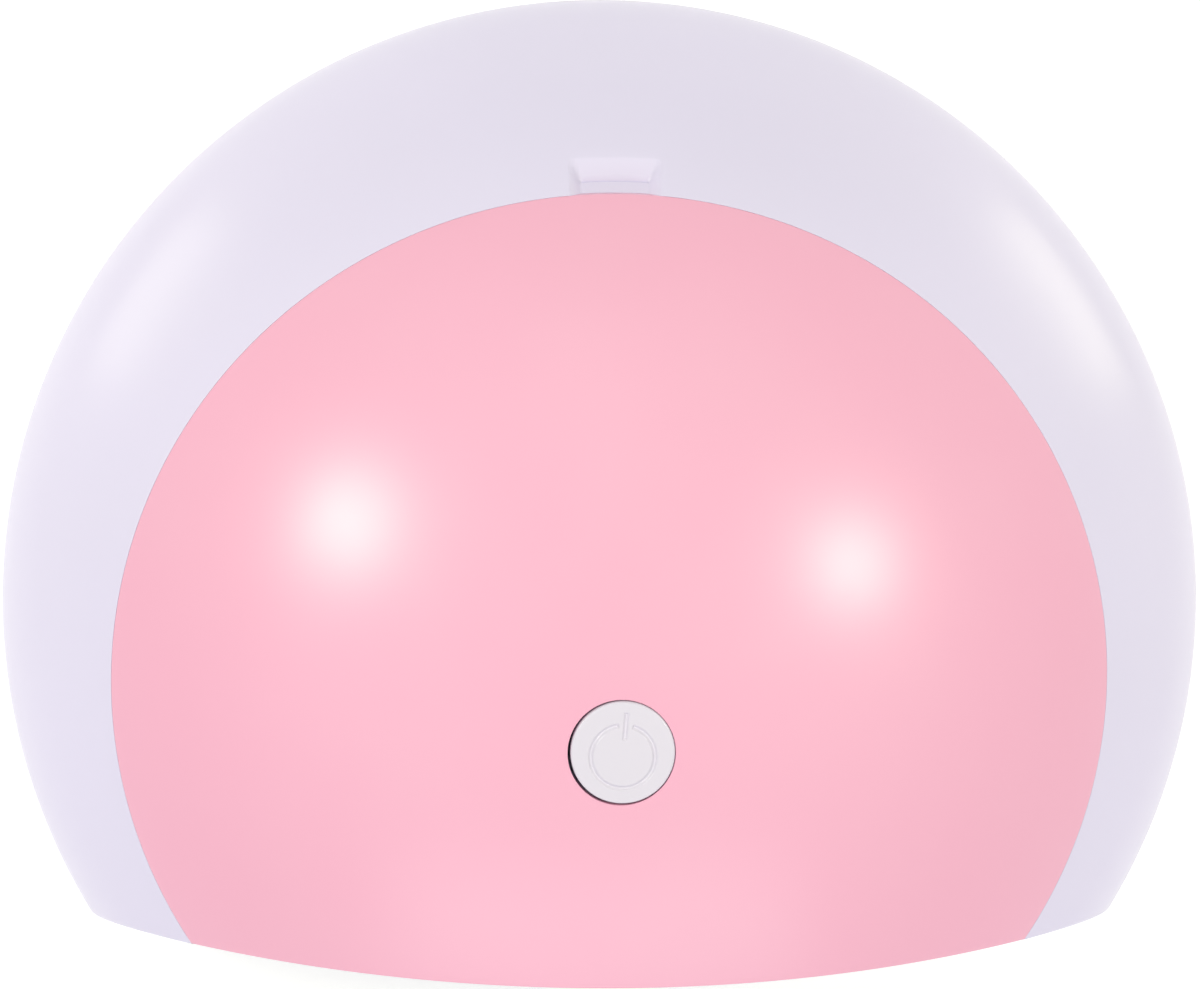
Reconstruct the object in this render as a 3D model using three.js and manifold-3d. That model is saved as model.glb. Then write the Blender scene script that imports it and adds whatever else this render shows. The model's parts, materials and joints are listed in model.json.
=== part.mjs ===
// A small domed nail lamp: a round shell with a hand opening in front, a curved faceplate that
// clips in, a power button, LEDs behind a vaulted reflector, and a base tray that lifts off.
// Millimetres, +Z up, the hand goes in from -Y. The table is z = 0 and the bounding box is centred
// on the Z axis. The pieces are built about the dome's own axis, which lies domeOffset in front of it.
import * as THREE from "three";
import { mergeVertices } from "three/addons/utils/BufferGeometryUtils.js";
import { ConvexGeometry } from "three/addons/geometries/ConvexGeometry.js";
import Module from "manifold-3d";

const wasm = await Module();
wasm.setup();

// Outside of the dome
const shellRadius = 77.5; // widest radius in plan
const waistHeight = 15; // height of that widest ring
const shoulderRadius = 20; // rolls the crown over into the side
const skirtRadius = 30; // draws the side in towards the table
const frontBow = 318; // radius of the front edge in plan
const buttonRise = 10.8; // switch plunger to the top of the crown
const shellWall = 2;

// Clearances
const fit = 0.3; // between pieces that rest on each other
const overrun = 5; // how far a cutter runs past what it cuts

// Faceplate and the button in it
const bandWidth = 15; // of the shell beside the faceplate
const plateFlattening = 1.2; // seam shorter than wide, at each end
const plateCentre = 3.8; // seam centre behind the button
const plateThickness = 1.6;
const plateSetback = 0.4; // behind the shell's front edge
const seatWall = 1.8; // shell under the faceplate
const pegRadius = 1.5;
const pegLength = 3.6; // below the faceplate
const pegClearance = 0.25;
const pegPlaceShares = [
  [-0.62, 0.55],
  [0.62, 0.55],
  [-0.81, -0.23],
  [0.81, -0.23],
]; // of the seam's half width, from the button
const buttonSetForward = 18; // button in front of the dome axis
const buttonRadius = 6.3;
const buttonClearance = 0.25;
const buttonProud = 0.3; // above the faceplate
const buttonFlange = 1.4; // flange width round the button
const buttonFlangeThickness = 1;
const buttonChamfer = 0.35;
const buttonPostRadius = 1.9;

// Power mark pressed into the button
const markRadius = 3.9;
const markStroke = 0.35;
const markDepth = 0.25;
const markDrop = 0.5; // ring centre in front of the button's
const markBarTop = 5.4; // from the ring centre
const markBarFoot = 2.2;
const markGapAngle = 0.24; // radians either side of the bar
const markTurn = -0.08; // radians

// Finger notch behind the faceplate
const notchWidth = 11.1;
const notchFloorWidth = 8.2;
const notchLength = 4.6; // behind the seam
const notchFloorLength = 1.6;

// Base stack, upwards from the table
const footRise = 1; // foot below the tray
const footRadius = 5;
const footSink = 0.6; // foot inside the tray
const footEdge = 0.3; // rounding where it meets the table
const footPlaceShares = [
  [-0.65, -0.39],
  [0.65, -0.39],
  [-0.57, 0.57],
  [0.57, 0.57],
]; // of the shell's radius
const trayThickness = 2;
const trayInset = 1.6; // inside the shell's outline
const padRise = 1.6; // raised floor in the hand opening
const padClearance = 1;
const foilThickness = 0.3;
const foilInset = 2;
const frameThickness = 2.6;
const magnetRadius = 3;
const magnetThickness = 1.2;
const magnetSlack = 0.15;
const magnetRow = 12; // behind the dome axis

// Hand opening and the reflector round it
const sideSpace = 22.5; // hand cavity to the shell's widest ring
const cheekWidth = 6.2; // front wall beside the opening
const cavityTop = 35;
const archSquareness = 3; // exponent of the arch curve
const reflectorWall = 1.4;
const reflectorFlange = 2.4;
const reflectorFlangeThickness = 1.2;
const lampHoleRadius = 3;

// LEDs
const ledRadius = 2.4;
const ledBase = 1;
const ledLensRadius = 1.9;
const ledLensHeight = 1.5;
const ceilingColumns = 3;
const ceilingRows = 2;
const sideLeds = 3;
const sideLedHeight = 17;

// Boards
const boardThickness = 1.2;
const ceilingBoardInset = 23; // inside the cavity's sides
const ceilingBoardLength = 57;
const ceilingBoardSetback = 6.5; // behind the front edge
const sideBoardLength = 48;
const sideBoardHeight = 16;
const sideBoardSetback = 12.5;
const controlBoardWidth = 36;
const controlBoardLength = 25;
const controlBoardReach = 15; // behind the button
const boardGap = 1.1; // control board above the ceiling board's screws
const powerBoardWidth = 28;
const powerBoardLength = 10.4;
const powerBoardRise = 1.5; // above the base frame

// Fixings
const bossRadius = 3;
const frontBossSetback = 18.5; // behind the front edge
const rearBossAngle = 0.84; // radians from the X axis
const screwShank = 1.15;
const screwHead = 2.5;
const screwHeadHeight = 1.4;
const housingScrewLength = 10;
const screwRecess = 0.9; // half length of the cross in the head
const screwRecessWidth = 0.5;
const screwRecessDepth = 0.7;
const pilotClearance = 0.15;
const smallBossRadius = 2.3;
const smallScrewShank = 0.85;
const smallScrewHead = 1.9;
const smallScrewHeadHeight = 1.2;
const smallScrewLength = 4;
const boardScrewInset = 4; // from a board's sides
const ledBoardScrewSetback = 5.5; // from the ceiling board's ends

// Switch, socket, sensors and the parts on the control board
const switchSide = 6;
const switchHeight = 3.5;
const plungerRadius = 1.75;
const plungerRise = 1.5; // above the switch body
const plungerSink = 1.2; // inside the switch body
const plungerStroke = 0.6;
const socketWidth = 9;
const socketHeight = 3.2;
const socketLength = 7.5;
const socketWall = 0.3;
const socketRecess = 3.6; // mouth behind the shell's widest ring
const socketOverhang = 1.6; // mouth past the power board
const tongueWidth = 6.6;
const tongueThickness = 0.7;
const tongueLength = 5;
const tongueSetback = 0.8; // behind the socket's mouth
const windowWidth = 12.6;
const windowHeight = 7.2;
const windowCorner = 1.6;
const sensorRadius = 1.5;
const sensorFlange = 0.4;
const sensorFlangeHeight = 0.8;
const sensorLength = 4;
const sensorSpacing = 14;
const sensorInset = 3; // from the ceiling board's front
const chipLength = 5;
const chipWidth = 4;
const chipHeight = 1.5;
const inductorRadius = 2.8;
const inductorHeight = 3;
const capacitorRadius = 2.5;
const capacitorHeight = 5.4;
const chipPlaceShares = [-0.67, 0.33]; // of half the board's width, and of its reach
const inductorPlaceShares = [0.67, 0.07];
const capacitorPlaceShares = [0, 0.73];
const wireRadius = 0.9;
const wireRun = 2.7; // straight at each end of a lead
const powerWireColumn = 9; // beside the middle plane
const powerWireShares = [
  [1.14, 0.57],
  [1.03, 0.94],
  [0.73, 1.23],
  [0.36, 1.34],
]; // over the reflector, of the cavity's half width and of its height

// Smoothness
const roundSteps = 48;
const crownSteps = 7;
const shoulderSteps = 4;
const skirtSteps = 2;
const archSteps = 10;
const vaultSteps = 32;
const frontSteps = 10;
const holeSteps = 24;
const smallSteps = 8;
const lensSteps = 2;
const wireSteps = 14;
const cornerSteps = 4;

// Heights of the stack over the table
const trayTop = footRise + trayThickness;
const shellFoot = trayTop + fit;
const frameTop = shellFoot + frameThickness;
const reflectorFoot = frameTop + fit;
const powerBoardFoot = frameTop + powerBoardRise + fit;
const socketAxis = powerBoardFoot + boardThickness + fit + socketHeight / 2;
const ceilingBoardFoot = cavityTop + reflectorWall + ledBase + 2 * fit;
const ceilingScrewTop = ceilingBoardFoot + boardThickness + fit + smallScrewHeadHeight;
const controlBoardEdge = ceilingScrewTop + boardGap;
const switchStack = boardThickness + fit + switchHeight + plungerRise + fit;
const crownTop = controlBoardEdge + switchStack + buttonRise;

// Plan of the shell, the hand cavity and the front edge
const cavityHalfWidth = shellRadius - sideSpace;
const frontReach = Math.sqrt(shellRadius ** 2 - (cavityHalfWidth + cheekWidth) ** 2);
const domeOffset = (shellRadius - frontReach) / 2;
const ceilingBoardWidth = 2 * (cavityHalfWidth - ceilingBoardInset);
const plateHalfWidth = shellRadius - bandWidth;
const plateHalfLength = plateHalfWidth - plateFlattening;
const skirtCentre = shellRadius - skirtRadius;
const shoulderCentre = shellRadius - shoulderRadius;

// The crown is the sphere that reaches crownTop and runs into the shoulder without a crease.
const crownLift = crownTop - waistHeight;
const crownRadius =
  (shoulderCentre ** 2 + crownLift ** 2 - shoulderRadius ** 2) / (2 * (crownLift - shoulderRadius));
const crownCentre = crownTop - crownRadius;
const crownAngle = Math.asin(shoulderCentre / (crownRadius - shoulderRadius));
const seatDepth = plateThickness + fit;
const seatInner = seatDepth + seatWall;

// The button stands square to the crown, and the control board lies square to the button.
const lean = Math.asin(buttonSetForward / crownRadius);
const controlBoardFront = controlBoardReach - controlBoardLength;
const controlBoardFoot =
  (controlBoardEdge - crownCentre - controlBoardFront * Math.sin(lean)) / Math.cos(lean);
const controlBoardTop = controlBoardFoot + boardThickness;
const switchTop = controlBoardTop + fit + switchHeight;
const plungerTop = switchTop + plungerRise;
const seatUnderside = crownRadius - seatInner;
const flangeRadius = buttonRadius + buttonFlange;
const flangeTop = Math.sqrt(seatUnderside ** 2 - flangeRadius ** 2) - fit;
const flangeFoot = flangeTop - buttonFlangeThickness;

// Places in plan
const socketMouth = shellRadius - socketRecess;
const ceilingBoardFront = ceilingBoardSetback - frontReach;
const sideBoardFront = sideBoardSetback - frontReach;
const sideBoardFoot = sideLedHeight - sideBoardHeight / 2;
const powerBoardBack = socketMouth - socketOverhang;
const powerBoardFront = powerBoardBack - powerBoardLength;
const frameRadius = skirtAt(shellFoot, shellWall) - fit;
const reflectorFootWidth = cavityHalfWidth + reflectorWall + reflectorFlange;
const pegPlaces = pegPlaceShares.map(([x, y]) => [x * plateHalfWidth, y * plateHalfWidth]);
const footPlaces = footPlaceShares.map(([x, y]) => [x * shellRadius, y * shellRadius]);
const bossPlaces = [
  besideReflector(-1, frontBossSetback - frontReach),
  besideReflector(1, frontBossSetback - frontReach),
  behindReflector(Math.PI - rearBossAngle),
  behindReflector(rearBossAngle),
];
const magnetPlaces = { left: besideReflector(-1, magnetRow), right: besideReflector(1, magnetRow) };
const sensorRow = ceilingBoardFront + sensorInset;
const sensorPlaces = {
  hand_sensor_emitter: [-sensorSpacing / 2, sensorRow],
  hand_sensor_receiver: [sensorSpacing / 2, sensorRow],
};
const ledBoardScrewColumn = ceilingBoardWidth / 2 - boardScrewInset;
const ledBoardScrewPlaces = [
  [-ledBoardScrewColumn, ceilingBoardFront + ledBoardScrewSetback],
  [ledBoardScrewColumn, ceilingBoardFront + ledBoardScrewSetback],
  [-ledBoardScrewColumn, ceilingBoardFront + ceilingBoardLength - ledBoardScrewSetback],
  [ledBoardScrewColumn, ceilingBoardFront + ceilingBoardLength - ledBoardScrewSetback],
];
const controlScrewColumn = controlBoardWidth / 2 - boardScrewInset;
const controlScrewPlaces = [
  [-controlScrewColumn, controlBoardFront + boardScrewInset],
  [controlScrewColumn, controlBoardReach - boardScrewInset],
];
const powerScrewPlaces = [-1, 1].map((side) => [
  side * (powerBoardWidth / 2 - boardScrewInset),
  powerBoardFront + powerBoardLength / 2,
]);

// Middle of the space between the reflector's foot and the shell, at a place along Y.
function besideReflector(side, y) {
  const wall = Math.sqrt(frameRadius ** 2 - y ** 2);
  return [(side * (reflectorFootWidth + wall)) / 2, y];
}

// The same space round the back, at an angle from the X axis.
function behindReflector(angle) {
  const middle = (reflectorFootWidth + frameRadius) / 2;
  return [middle * Math.cos(angle), middle * Math.sin(angle)];
}

const colours = {
  shell: [0xe9e6f4, 0.38, 0],
  plate: [0xfbbccf, 0.36, 0],
  button: [0xeeebf5, 0.35, 0],
  reflector: [0xdfe1e6, 0.2, 0],
  board: [0x1d6b3f, 0.55, 0],
  lampBoard: [0xf1f2f0, 0.45, 0],
  black: [0x202024, 0.6, 0],
  metal: [0xb9bcc2, 0.3, 1],
  lens: [0xf3ecd0, 0.15, 0],
  rubber: [0x5c5c61, 0.85, 0],
  wire: [0xc43b3b, 0.5, 0],
  sensorDark: [0x2a2230, 0.25, 0],
};

// Turns a closed geometry into a solid that can be joined and cut.
function solid(geometry) {
  const bare = geometry.index ? geometry.toNonIndexed() : geometry.clone();
  bare.deleteAttribute("normal");
  bare.deleteAttribute("uv");
  const merged = mergeVertices(bare);
  return new wasm.Manifold(
    new wasm.Mesh({
      numProp: 3,
      vertProperties: merged.attributes.position.array,
      triVerts: new Uint32Array(merged.index.array),
    }),
  );
}

// Turns a solid back into a geometry.
function geometryOf(body) {
  const mesh = body.getMesh();
  return new THREE.BufferGeometry()
    .setAttribute("position", new THREE.BufferAttribute(new Float32Array(mesh.vertProperties), 3))
    .setIndex(new THREE.BufferAttribute(new Uint32Array(mesh.triVerts), 1));
}

function joined(bodies) {
  return bodies.reduce((whole, next) => whole.add(next));
}

function cut(body, cutters) {
  return cutters.reduce((rest, next) => rest.subtract(next), body);
}

// Spins a profile of [radius, height] points, listed from the bottom up, about the Z axis.
function spun(points, steps) {
  const profile = points.map(([r, z]) => new THREE.Vector2(r, z));
  return new THREE.LatheGeometry(profile, steps).rotateX(Math.PI / 2);
}

function disc(radius, low, high, steps = holeSteps) {
  return spun([[0, low], [radius, low], [radius, high], [0, high]], steps);
}

function discAt([x, y], radius, low, high, steps = holeSteps) {
  return disc(radius, low, high, steps).translate(x, y, 0);
}

// A post or a round cutter, upright or along the button's axis.
function pin(place, radius, low, high, steps = smallSteps) {
  return solid(discAt(place, radius, low, high, steps));
}

function leanedPin(place, radius, low, high, steps = smallSteps) {
  return solid(leaned(discAt(place, radius, low, high, steps)));
}

function block([x0, x1], [y0, y1], [z0, z1]) {
  return new THREE.BoxGeometry(x1 - x0, y1 - y0, z1 - z0).translate(
    (x0 + x1) / 2,
    (y0 + y1) / 2,
    (z0 + z1) / 2,
  );
}

// Raises a plan outline from one height to another.
function prism(shape, low, high, curveSegments = holeSteps) {
  return new THREE.ExtrudeGeometry(shape, {
    depth: high - low,
    bevelEnabled: false,
    curveSegments,
  }).translate(0, 0, low);
}

// Runs an outline drawn in X and Z along Y, from the back to the front.
function tunnel(shape, back, front, curveSegments = smallSteps) {
  return new THREE.ExtrudeGeometry(shape, {
    depth: back - front,
    bevelEnabled: false,
    curveSegments,
  })
    .rotateX(Math.PI / 2)
    .translate(0, back, 0);
}

// The button's axis leans forward about the centre of the crown.
const leaning = new THREE.Matrix4()
  .makeRotationX(lean)
  .premultiply(new THREE.Matrix4().makeTranslation(0, 0, crownCentre));

function leaned(geometry) {
  return geometry.applyMatrix4(leaning);
}

// The dome, drawn in from its outside by an inset and ended at a floor.
function dome(inset, floor) {
  const points = [];
  const skirt = skirtRadius - inset;
  const shoulder = shoulderRadius - inset;
  const crown = crownRadius - inset;
  const skirtEnd = Math.asin((waistHeight - floor) / skirt);
  points.push([0, floor]);
  for (let i = skirtSteps; i > 0; i--) {
    const a = (skirtEnd * i) / skirtSteps;
    points.push([skirtCentre + skirt * Math.cos(a), waistHeight - skirt * Math.sin(a)]);
  }
  for (let i = 0; i < shoulderSteps; i++) {
    const a = ((Math.PI / 2 - crownAngle) * i) / shoulderSteps;
    points.push([shoulderCentre + shoulder * Math.cos(a), waistHeight + shoulder * Math.sin(a)]);
  }
  for (let i = crownSteps; i >= 0; i--) {
    const a = (crownAngle * i) / crownSteps;
    points.push([crown * Math.sin(a), crownCentre + crown * Math.cos(a)]);
  }
  points[points.length - 1][0] = 0;
  return spun(points, roundSteps);
}

// Everything behind the front edge, or behind a line that far inside it.
function behindFront(setback, low = -overrun, high = crownTop + overrun) {
  const radius = frontBow - setback;
  const half = Math.asin((shellRadius + overrun) / radius);
  const shape = new THREE.Shape();
  shape.absarc(0, frontBow - frontReach, radius, -Math.PI / 2 - half, -Math.PI / 2 + half, false);
  shape.lineTo(shellRadius + overrun, shellRadius + overrun);
  shape.lineTo(-shellRadius - overrun, shellRadius + overrun);
  return prism(shape, low, high, frontSteps);
}

// Radius of the dome at a height below its waist.
function skirtAt(height, inset) {
  return skirtCentre + Math.sqrt((skirtRadius - inset) ** 2 - (waistHeight - height) ** 2);
}

// Height of the crown, drawn in by an inset, at a distance from the axis.
function crownAt(distance, inset = 0) {
  return crownCentre + Math.sqrt((crownRadius - inset) ** 2 - distance ** 2);
}

// The half arch of the hand opening as [half width, height] points, from its foot up to the axis.
function archCurve(outset) {
  const width = cavityHalfWidth + outset;
  const rise = cavityTop - reflectorFoot + outset;
  const points = [];
  for (let i = 0; i <= archSteps; i++) {
    const a = (Math.PI / 2) * (i / archSteps);
    const across = Math.cos(a) ** (2 / archSquareness);
    const up = Math.sin(a) ** (2 / archSquareness);
    points.push([i === archSteps ? 0 : width * across, reflectorFoot + rise * up]);
  }
  return points;
}

// Half width of the arch at a height.
function archAt(height, outset) {
  const rise = cavityTop - reflectorFoot + outset;
  const share = (height - reflectorFoot) / rise;
  return (cavityHalfWidth + outset) * (1 - share ** archSquareness) ** (1 / archSquareness);
}

// The vault: an arch that runs straight in from the front and closes in a round back.
function vault(outset, foot, front) {
  const curve = archCurve(outset);
  const width = curve[0][0];
  const outline = new THREE.Shape();
  outline.moveTo(-width, foot);
  outline.lineTo(width, foot);
  curve.forEach(([x, z]) => outline.lineTo(x, z));
  curve
    .slice(0, -1)
    .reverse()
    .forEach(([x, z]) => outline.lineTo(-x, z));
  const back = spun([[0, foot], [width, foot], ...curve], vaultSteps);
  return solid(tunnel(outline, 0, front)).add(solid(back));
}

// A plan outline with straight sides and a round back, open to the front.
function horseshoe(halfWidth, front) {
  const shape = new THREE.Shape();
  shape.moveTo(-halfWidth, front);
  shape.lineTo(halfWidth, front);
  shape.absarc(0, 0, halfWidth, 0, Math.PI, false);
  return shape;
}

function roundedRect(width, height, corner) {
  const x = width / 2 - corner;
  const y = height / 2 - corner;
  const shape = new THREE.Shape();
  shape.absarc(x, y, corner, 0, Math.PI / 2, false);
  shape.absarc(-x, y, corner, Math.PI / 2, Math.PI, false);
  shape.absarc(-x, -y, corner, Math.PI, (3 * Math.PI) / 2, false);
  shape.absarc(x, -y, corner, (3 * Math.PI) / 2, 2 * Math.PI, false);
  return shape;
}

// An oval post along the button's axis, as wide as the seam plus a margin.
function seamPost(margin) {
  const width = plateHalfWidth + margin;
  const post = disc(width, waistHeight - crownCentre, crownRadius + overrun, roundSteps);
  post.scale(1, (plateHalfLength + margin) / width, 1);
  return leaned(post.translate(0, plateCentre, 0));
}

// Height along the button's axis of the crown's surface over a place beside that axis.
function alongButton([x, y], inset = 0) {
  return Math.sqrt((crownRadius - inset) ** 2 - x ** 2 - y ** 2);
}

// The space inside the shell: deeper under the faceplate's seat than in the band round it.
function housingHollow() {
  const band = solid(dome(shellWall, -overrun)).subtract(solid(seamPost(fit + shellWall)));
  const underSeat = solid(dome(seatInner, -overrun));
  return band.add(underSeat).intersect(solid(behindFront(shellWall)));
}

function platePocket() {
  return solid(seamPost(fit)).subtract(solid(dome(seatDepth, -overrun)));
}

// The arch cut through the front wall, in line with the reflector behind it.
function handOpening() {
  const across = [-shellRadius, shellRadius];
  const along = [-frontReach - overrun, ceilingBoardFront];
  const front = solid(block(across, along, [-overrun, crownTop]));
  return vault(0, -overrun, -frontReach - overrun).intersect(front);
}

function housingBosses() {
  const half = shellWall / 2;
  const inside = solid(dome(half, shellFoot)).intersect(solid(behindFront(half)));
  return bossPlaces.map((place) =>
    pin(place, bossRadius, reflectorFoot, crownTop, smallSteps * 2).intersect(inside),
  );
}

function housingPilots() {
  const top = shellFoot + housingScrewLength + fit;
  return bossPlaces.map((place) => pin(place, screwShank + pilotClearance, -overrun, top));
}

function controlBosses() {
  const underSeat = solid(dome(seatDepth + fit, shellFoot));
  return controlScrewPlaces.map((place) =>
    leanedPin(place, smallBossRadius, controlBoardTop + fit, crownRadius).intersect(underSeat),
  );
}

function controlPilots() {
  const top = controlBoardTop + smallScrewLength;
  return controlScrewPlaces.map((place) =>
    leanedPin(place, smallScrewShank + pilotClearance, controlBoardFoot, top),
  );
}

function pegHoles() {
  return pegPlaces.map((place) => {
    const low = alongButton(place) - seatInner - overrun;
    return leanedPin(place, pegRadius + pegClearance, low, crownRadius + overrun);
  });
}

function buttonHole() {
  const radius = buttonRadius + buttonClearance;
  return leanedPin([0, 0], radius, flangeFoot, crownRadius + overrun, holeSteps);
}

// The recess in the back of the shell that lets a plug's body reach the socket.
function plugWindow() {
  const outline = roundedRect(windowWidth, windowHeight, windowCorner);
  return solid(tunnel(outline, shellRadius + overrun, socketMouth).translate(0, 0, socketAxis));
}

function mainHousing() {
  const outside = solid(dome(0, shellFoot)).intersect(solid(behindFront(0)));
  const shell = cut(outside, [housingHollow(), platePocket(), handOpening()]);
  const posts = [...housingBosses(), ...controlBosses()];
  const pilots = [...housingPilots(), ...controlPilots()];
  const holes = [...pegHoles(), buttonHole(), plugWindow(), notch()];
  return geometryOf(cut(joined([shell, ...posts]), [...pilots, ...holes]));
}

// The scoop for a fingernail: a level floor at the faceplate's edge, then a slope up to the crown.
function notch() {
  const seam = seamBack();
  const slopeFoot = seam + notchFloorLength;
  const end = seam + notchLength;
  const floor = notchFloorWidth / 2;
  const wide = notchWidth / 2;
  const within = seam - seatDepth;
  const points = [
    [floor, within, crownAt(within, seatDepth)],
    [floor, slopeFoot, crownAt(slopeFoot, seatDepth)],
    [wide, within, crownAt(within) + fit],
    [wide, end, crownAt(end)],
    [wide, end, crownAt(end) + seatDepth],
    [wide, within, crownAt(within) + seatDepth],
  ];
  const corners = points.flatMap(([x, y, z]) => [
    new THREE.Vector3(x, y, z),
    new THREE.Vector3(-x, y, z),
  ]);
  return solid(new ConvexGeometry(corners));
}

// Where the seam crosses the middle plane at the back, measured from the dome axis.
function seamBack() {
  const back = plateCentre + plateHalfLength + fit;
  const edge = new THREE.Vector3(0, back, alongButton([0, back])).applyMatrix4(leaning);
  return edge.y;
}

function faceplate() {
  const skin = solid(dome(0, shellFoot)).subtract(solid(dome(plateThickness, -overrun)));
  const sheet = skin.intersect(solid(seamPost(0))).intersect(solid(behindFront(plateSetback)));
  const pegs = pegPlaces.map((place) => {
    const top = alongButton(place, plateThickness / 2);
    return leanedPin(place, pegRadius, top - pegLength, top);
  });
  return geometryOf(joined([sheet, ...pegs]).subtract(buttonHole()));
}

// The button stands on the crown's axis: a face, a flange that keeps it in, and a post to the switch.
function powerButton() {
  const top = crownRadius + buttonProud;
  const post = plungerTop + fit;
  const body = solid(
    spun(
      [
        [0, post],
        [buttonPostRadius, post],
        [buttonPostRadius, flangeFoot],
        [flangeRadius, flangeFoot],
        [flangeRadius, flangeTop],
        [buttonRadius, flangeTop],
        [buttonRadius, top - buttonChamfer],
        [buttonRadius - buttonChamfer, top],
        [0, top],
      ],
      holeSteps,
    ),
  );
  return geometryOf(body.subtract(powerMark(top)));
}

// The power mark's ring and bar, as a cutter that sinks into the button's face.
function powerMark(top) {
  const ring = new THREE.Shape();
  const start = Math.PI / 2 + markGapAngle;
  const end = Math.PI / 2 - markGapAngle + 2 * Math.PI;
  ring.absarc(0, 0, markRadius + markStroke / 2, start, end, false);
  ring.absarc(0, 0, markRadius - markStroke / 2, end, start, true);
  const low = top - markDepth;
  const high = top + markDepth;
  const bar = block([-markStroke / 2, markStroke / 2], [markBarFoot, markBarTop], [low, high]);
  const placed = [prism(ring, low, high, holeSteps), bar].map((geometry) =>
    solid(geometry.translate(0, -markDrop, 0).rotateZ(markTurn)),
  );
  return joined(placed);
}

// The horseshoe that closes the shell's foot round the hand opening.
function baseFrame() {
  const plan = solid(disc(frameRadius, shellFoot, frameTop, roundSteps)).intersect(
    solid(behindFront(shellWall + fit)),
  );
  const mouth = solid(prism(horseshoe(cavityHalfWidth, -shellRadius), -overrun, crownTop));
  const posts = powerScrewPlaces.map((place) =>
    pin(place, smallBossRadius, frameTop - fit, powerBoardFoot - fit),
  );
  const body = joined([plan.subtract(mouth), ...posts]);
  return geometryOf(cut(body, [...frameScrewHoles(), ...frameMagnetPockets(), ...powerPilots()]));
}

function frameScrewHoles() {
  const headTop = shellFoot + screwHeadHeight + fit;
  return bossPlaces.flatMap((place) => [
    pin(place, screwShank + fit, -overrun, crownTop, smallSteps * 2),
    pin(place, screwHead + fit, -overrun, headTop, smallSteps * 2),
  ]);
}

function frameMagnetPockets() {
  const top = shellFoot + magnetThickness + 2 * fit;
  return Object.values(magnetPlaces).map((place) =>
    pin(place, magnetRadius + magnetSlack, -overrun, top, holeSteps),
  );
}

function powerPilots() {
  const low = powerBoardFoot - smallScrewLength;
  return powerScrewPlaces.map((place) =>
    pin(place, smallScrewShank + pilotClearance, low, powerBoardFoot),
  );
}

// The reflector: a vault with a foot flange, holes for lamps and sensors, and rails for the side boards.
function innerReflector() {
  const flange = horseshoe(reflectorFootWidth, -shellRadius);
  const flangeHeight = reflectorFoot + reflectorFlangeThickness;
  const foot = solid(prism(flange, reflectorFoot, flangeHeight, roundSteps / 2));
  const skin = vault(reflectorWall, reflectorFoot, -shellRadius);
  const cavity = vault(0, -overrun, -shellRadius - overrun);
  const boards = [-1, 1].map((side) => solid(sideBoardSpace(side, fit)));
  const bosses = bossPlaces.map((place) =>
    pin(place, bossRadius + fit, -overrun, flangeHeight + fit, smallSteps * 2),
  );
  const posts = [...rails(), ...ledBoardPosts()];
  const body = cut(joined([skin, foot, ...posts]), [cavity, ...boards, ...bosses]);
  const holes = [...ceilingHoles(), ...sensorHoles(), ...sideHoles(), ...ledBoardPilots()];
  return geometryOf(cut(body, holes).intersect(solid(behindFront(shellWall + fit))));
}

// Jaws on the reflector's sides that hold the ends of the side boards.
function rails() {
  const near = cavityHalfWidth / 2;
  const far = sideBoardInner() + boardThickness + fit + reflectorWall;
  const ends = [sideBoardFront, sideBoardFront + sideBoardLength];
  return [-1, 1].flatMap((side) =>
    ends.map((end) =>
      solid(
        block(
          mirrored(side, near, far),
          [end - reflectorWall, end + reflectorWall],
          [reflectorFoot, sideLedHeight],
        ),
      ),
    ),
  );
}

function ledBoardPosts() {
  const top = ceilingBoardFoot - fit;
  return ledBoardScrewPlaces.map((place) => pin(place, smallBossRadius, cavityTop / 2, top));
}

function ledBoardPilots() {
  const low = ceilingBoardFoot + boardThickness - smallScrewLength;
  return ledBoardScrewPlaces.map((place) =>
    pin(place, smallScrewShank + pilotClearance, low, ceilingBoardFoot),
  );
}

function ceilingHoles() {
  return ceilingPlaces().map((place) =>
    pin(place, lampHoleRadius, cavityTop / 2, ceilingBoardFoot, smallSteps * 2),
  );
}

function sensorHoles() {
  return Object.values(sensorPlaces).map((place) =>
    pin(place, sensorRadius + fit, cavityTop / 2, crownTop),
  );
}

function sideHoles() {
  const start = cavityHalfWidth / 2;
  const length = sideBoardInner() - start;
  return [-1, 1].flatMap((side) =>
    sideRows().map((y) => {
      const hole = disc(lampHoleRadius, 0, length, smallSteps * 2);
      return solid(hole.rotateY((side * Math.PI) / 2).translate(side * start, y, sideLedHeight));
    }),
  );
}

// A span between two distances from the middle plane, on one side of it.
function mirrored(side, near, far) {
  return side < 0 ? [-far, -near] : [near, far];
}

// Evenly spaced places along a length, half a step in from its ends.
function spread(count, start, length) {
  return Array.from({ length: count }, (_, i) => start + (length * (i + 0.5)) / count);
}

function ceilingPlaces() {
  const columns = spread(ceilingColumns, -ceilingBoardWidth / 2, ceilingBoardWidth);
  const rows = spread(ceilingRows, ceilingBoardFront, ceilingBoardLength);
  return rows.flatMap((y) => columns.map((x) => [x, y]));
}

function sideRows() {
  return spread(sideLeds, sideBoardFront, sideBoardLength);
}

// Distance from the middle plane to the lamp side of a side board.
function sideBoardInner() {
  return archAt(sideLedHeight, reflectorWall) + ledBase + 2 * fit;
}

// The space that a side board takes, with a margin all round.
function sideBoardSpace(side, margin) {
  const inner = sideBoardInner();
  return block(
    mirrored(side, inner - margin, inner + boardThickness + margin),
    [sideBoardFront - margin, sideBoardFront + sideBoardLength + margin],
    [sideBoardFoot - margin, sideBoardFoot + sideBoardHeight + margin],
  );
}

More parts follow.
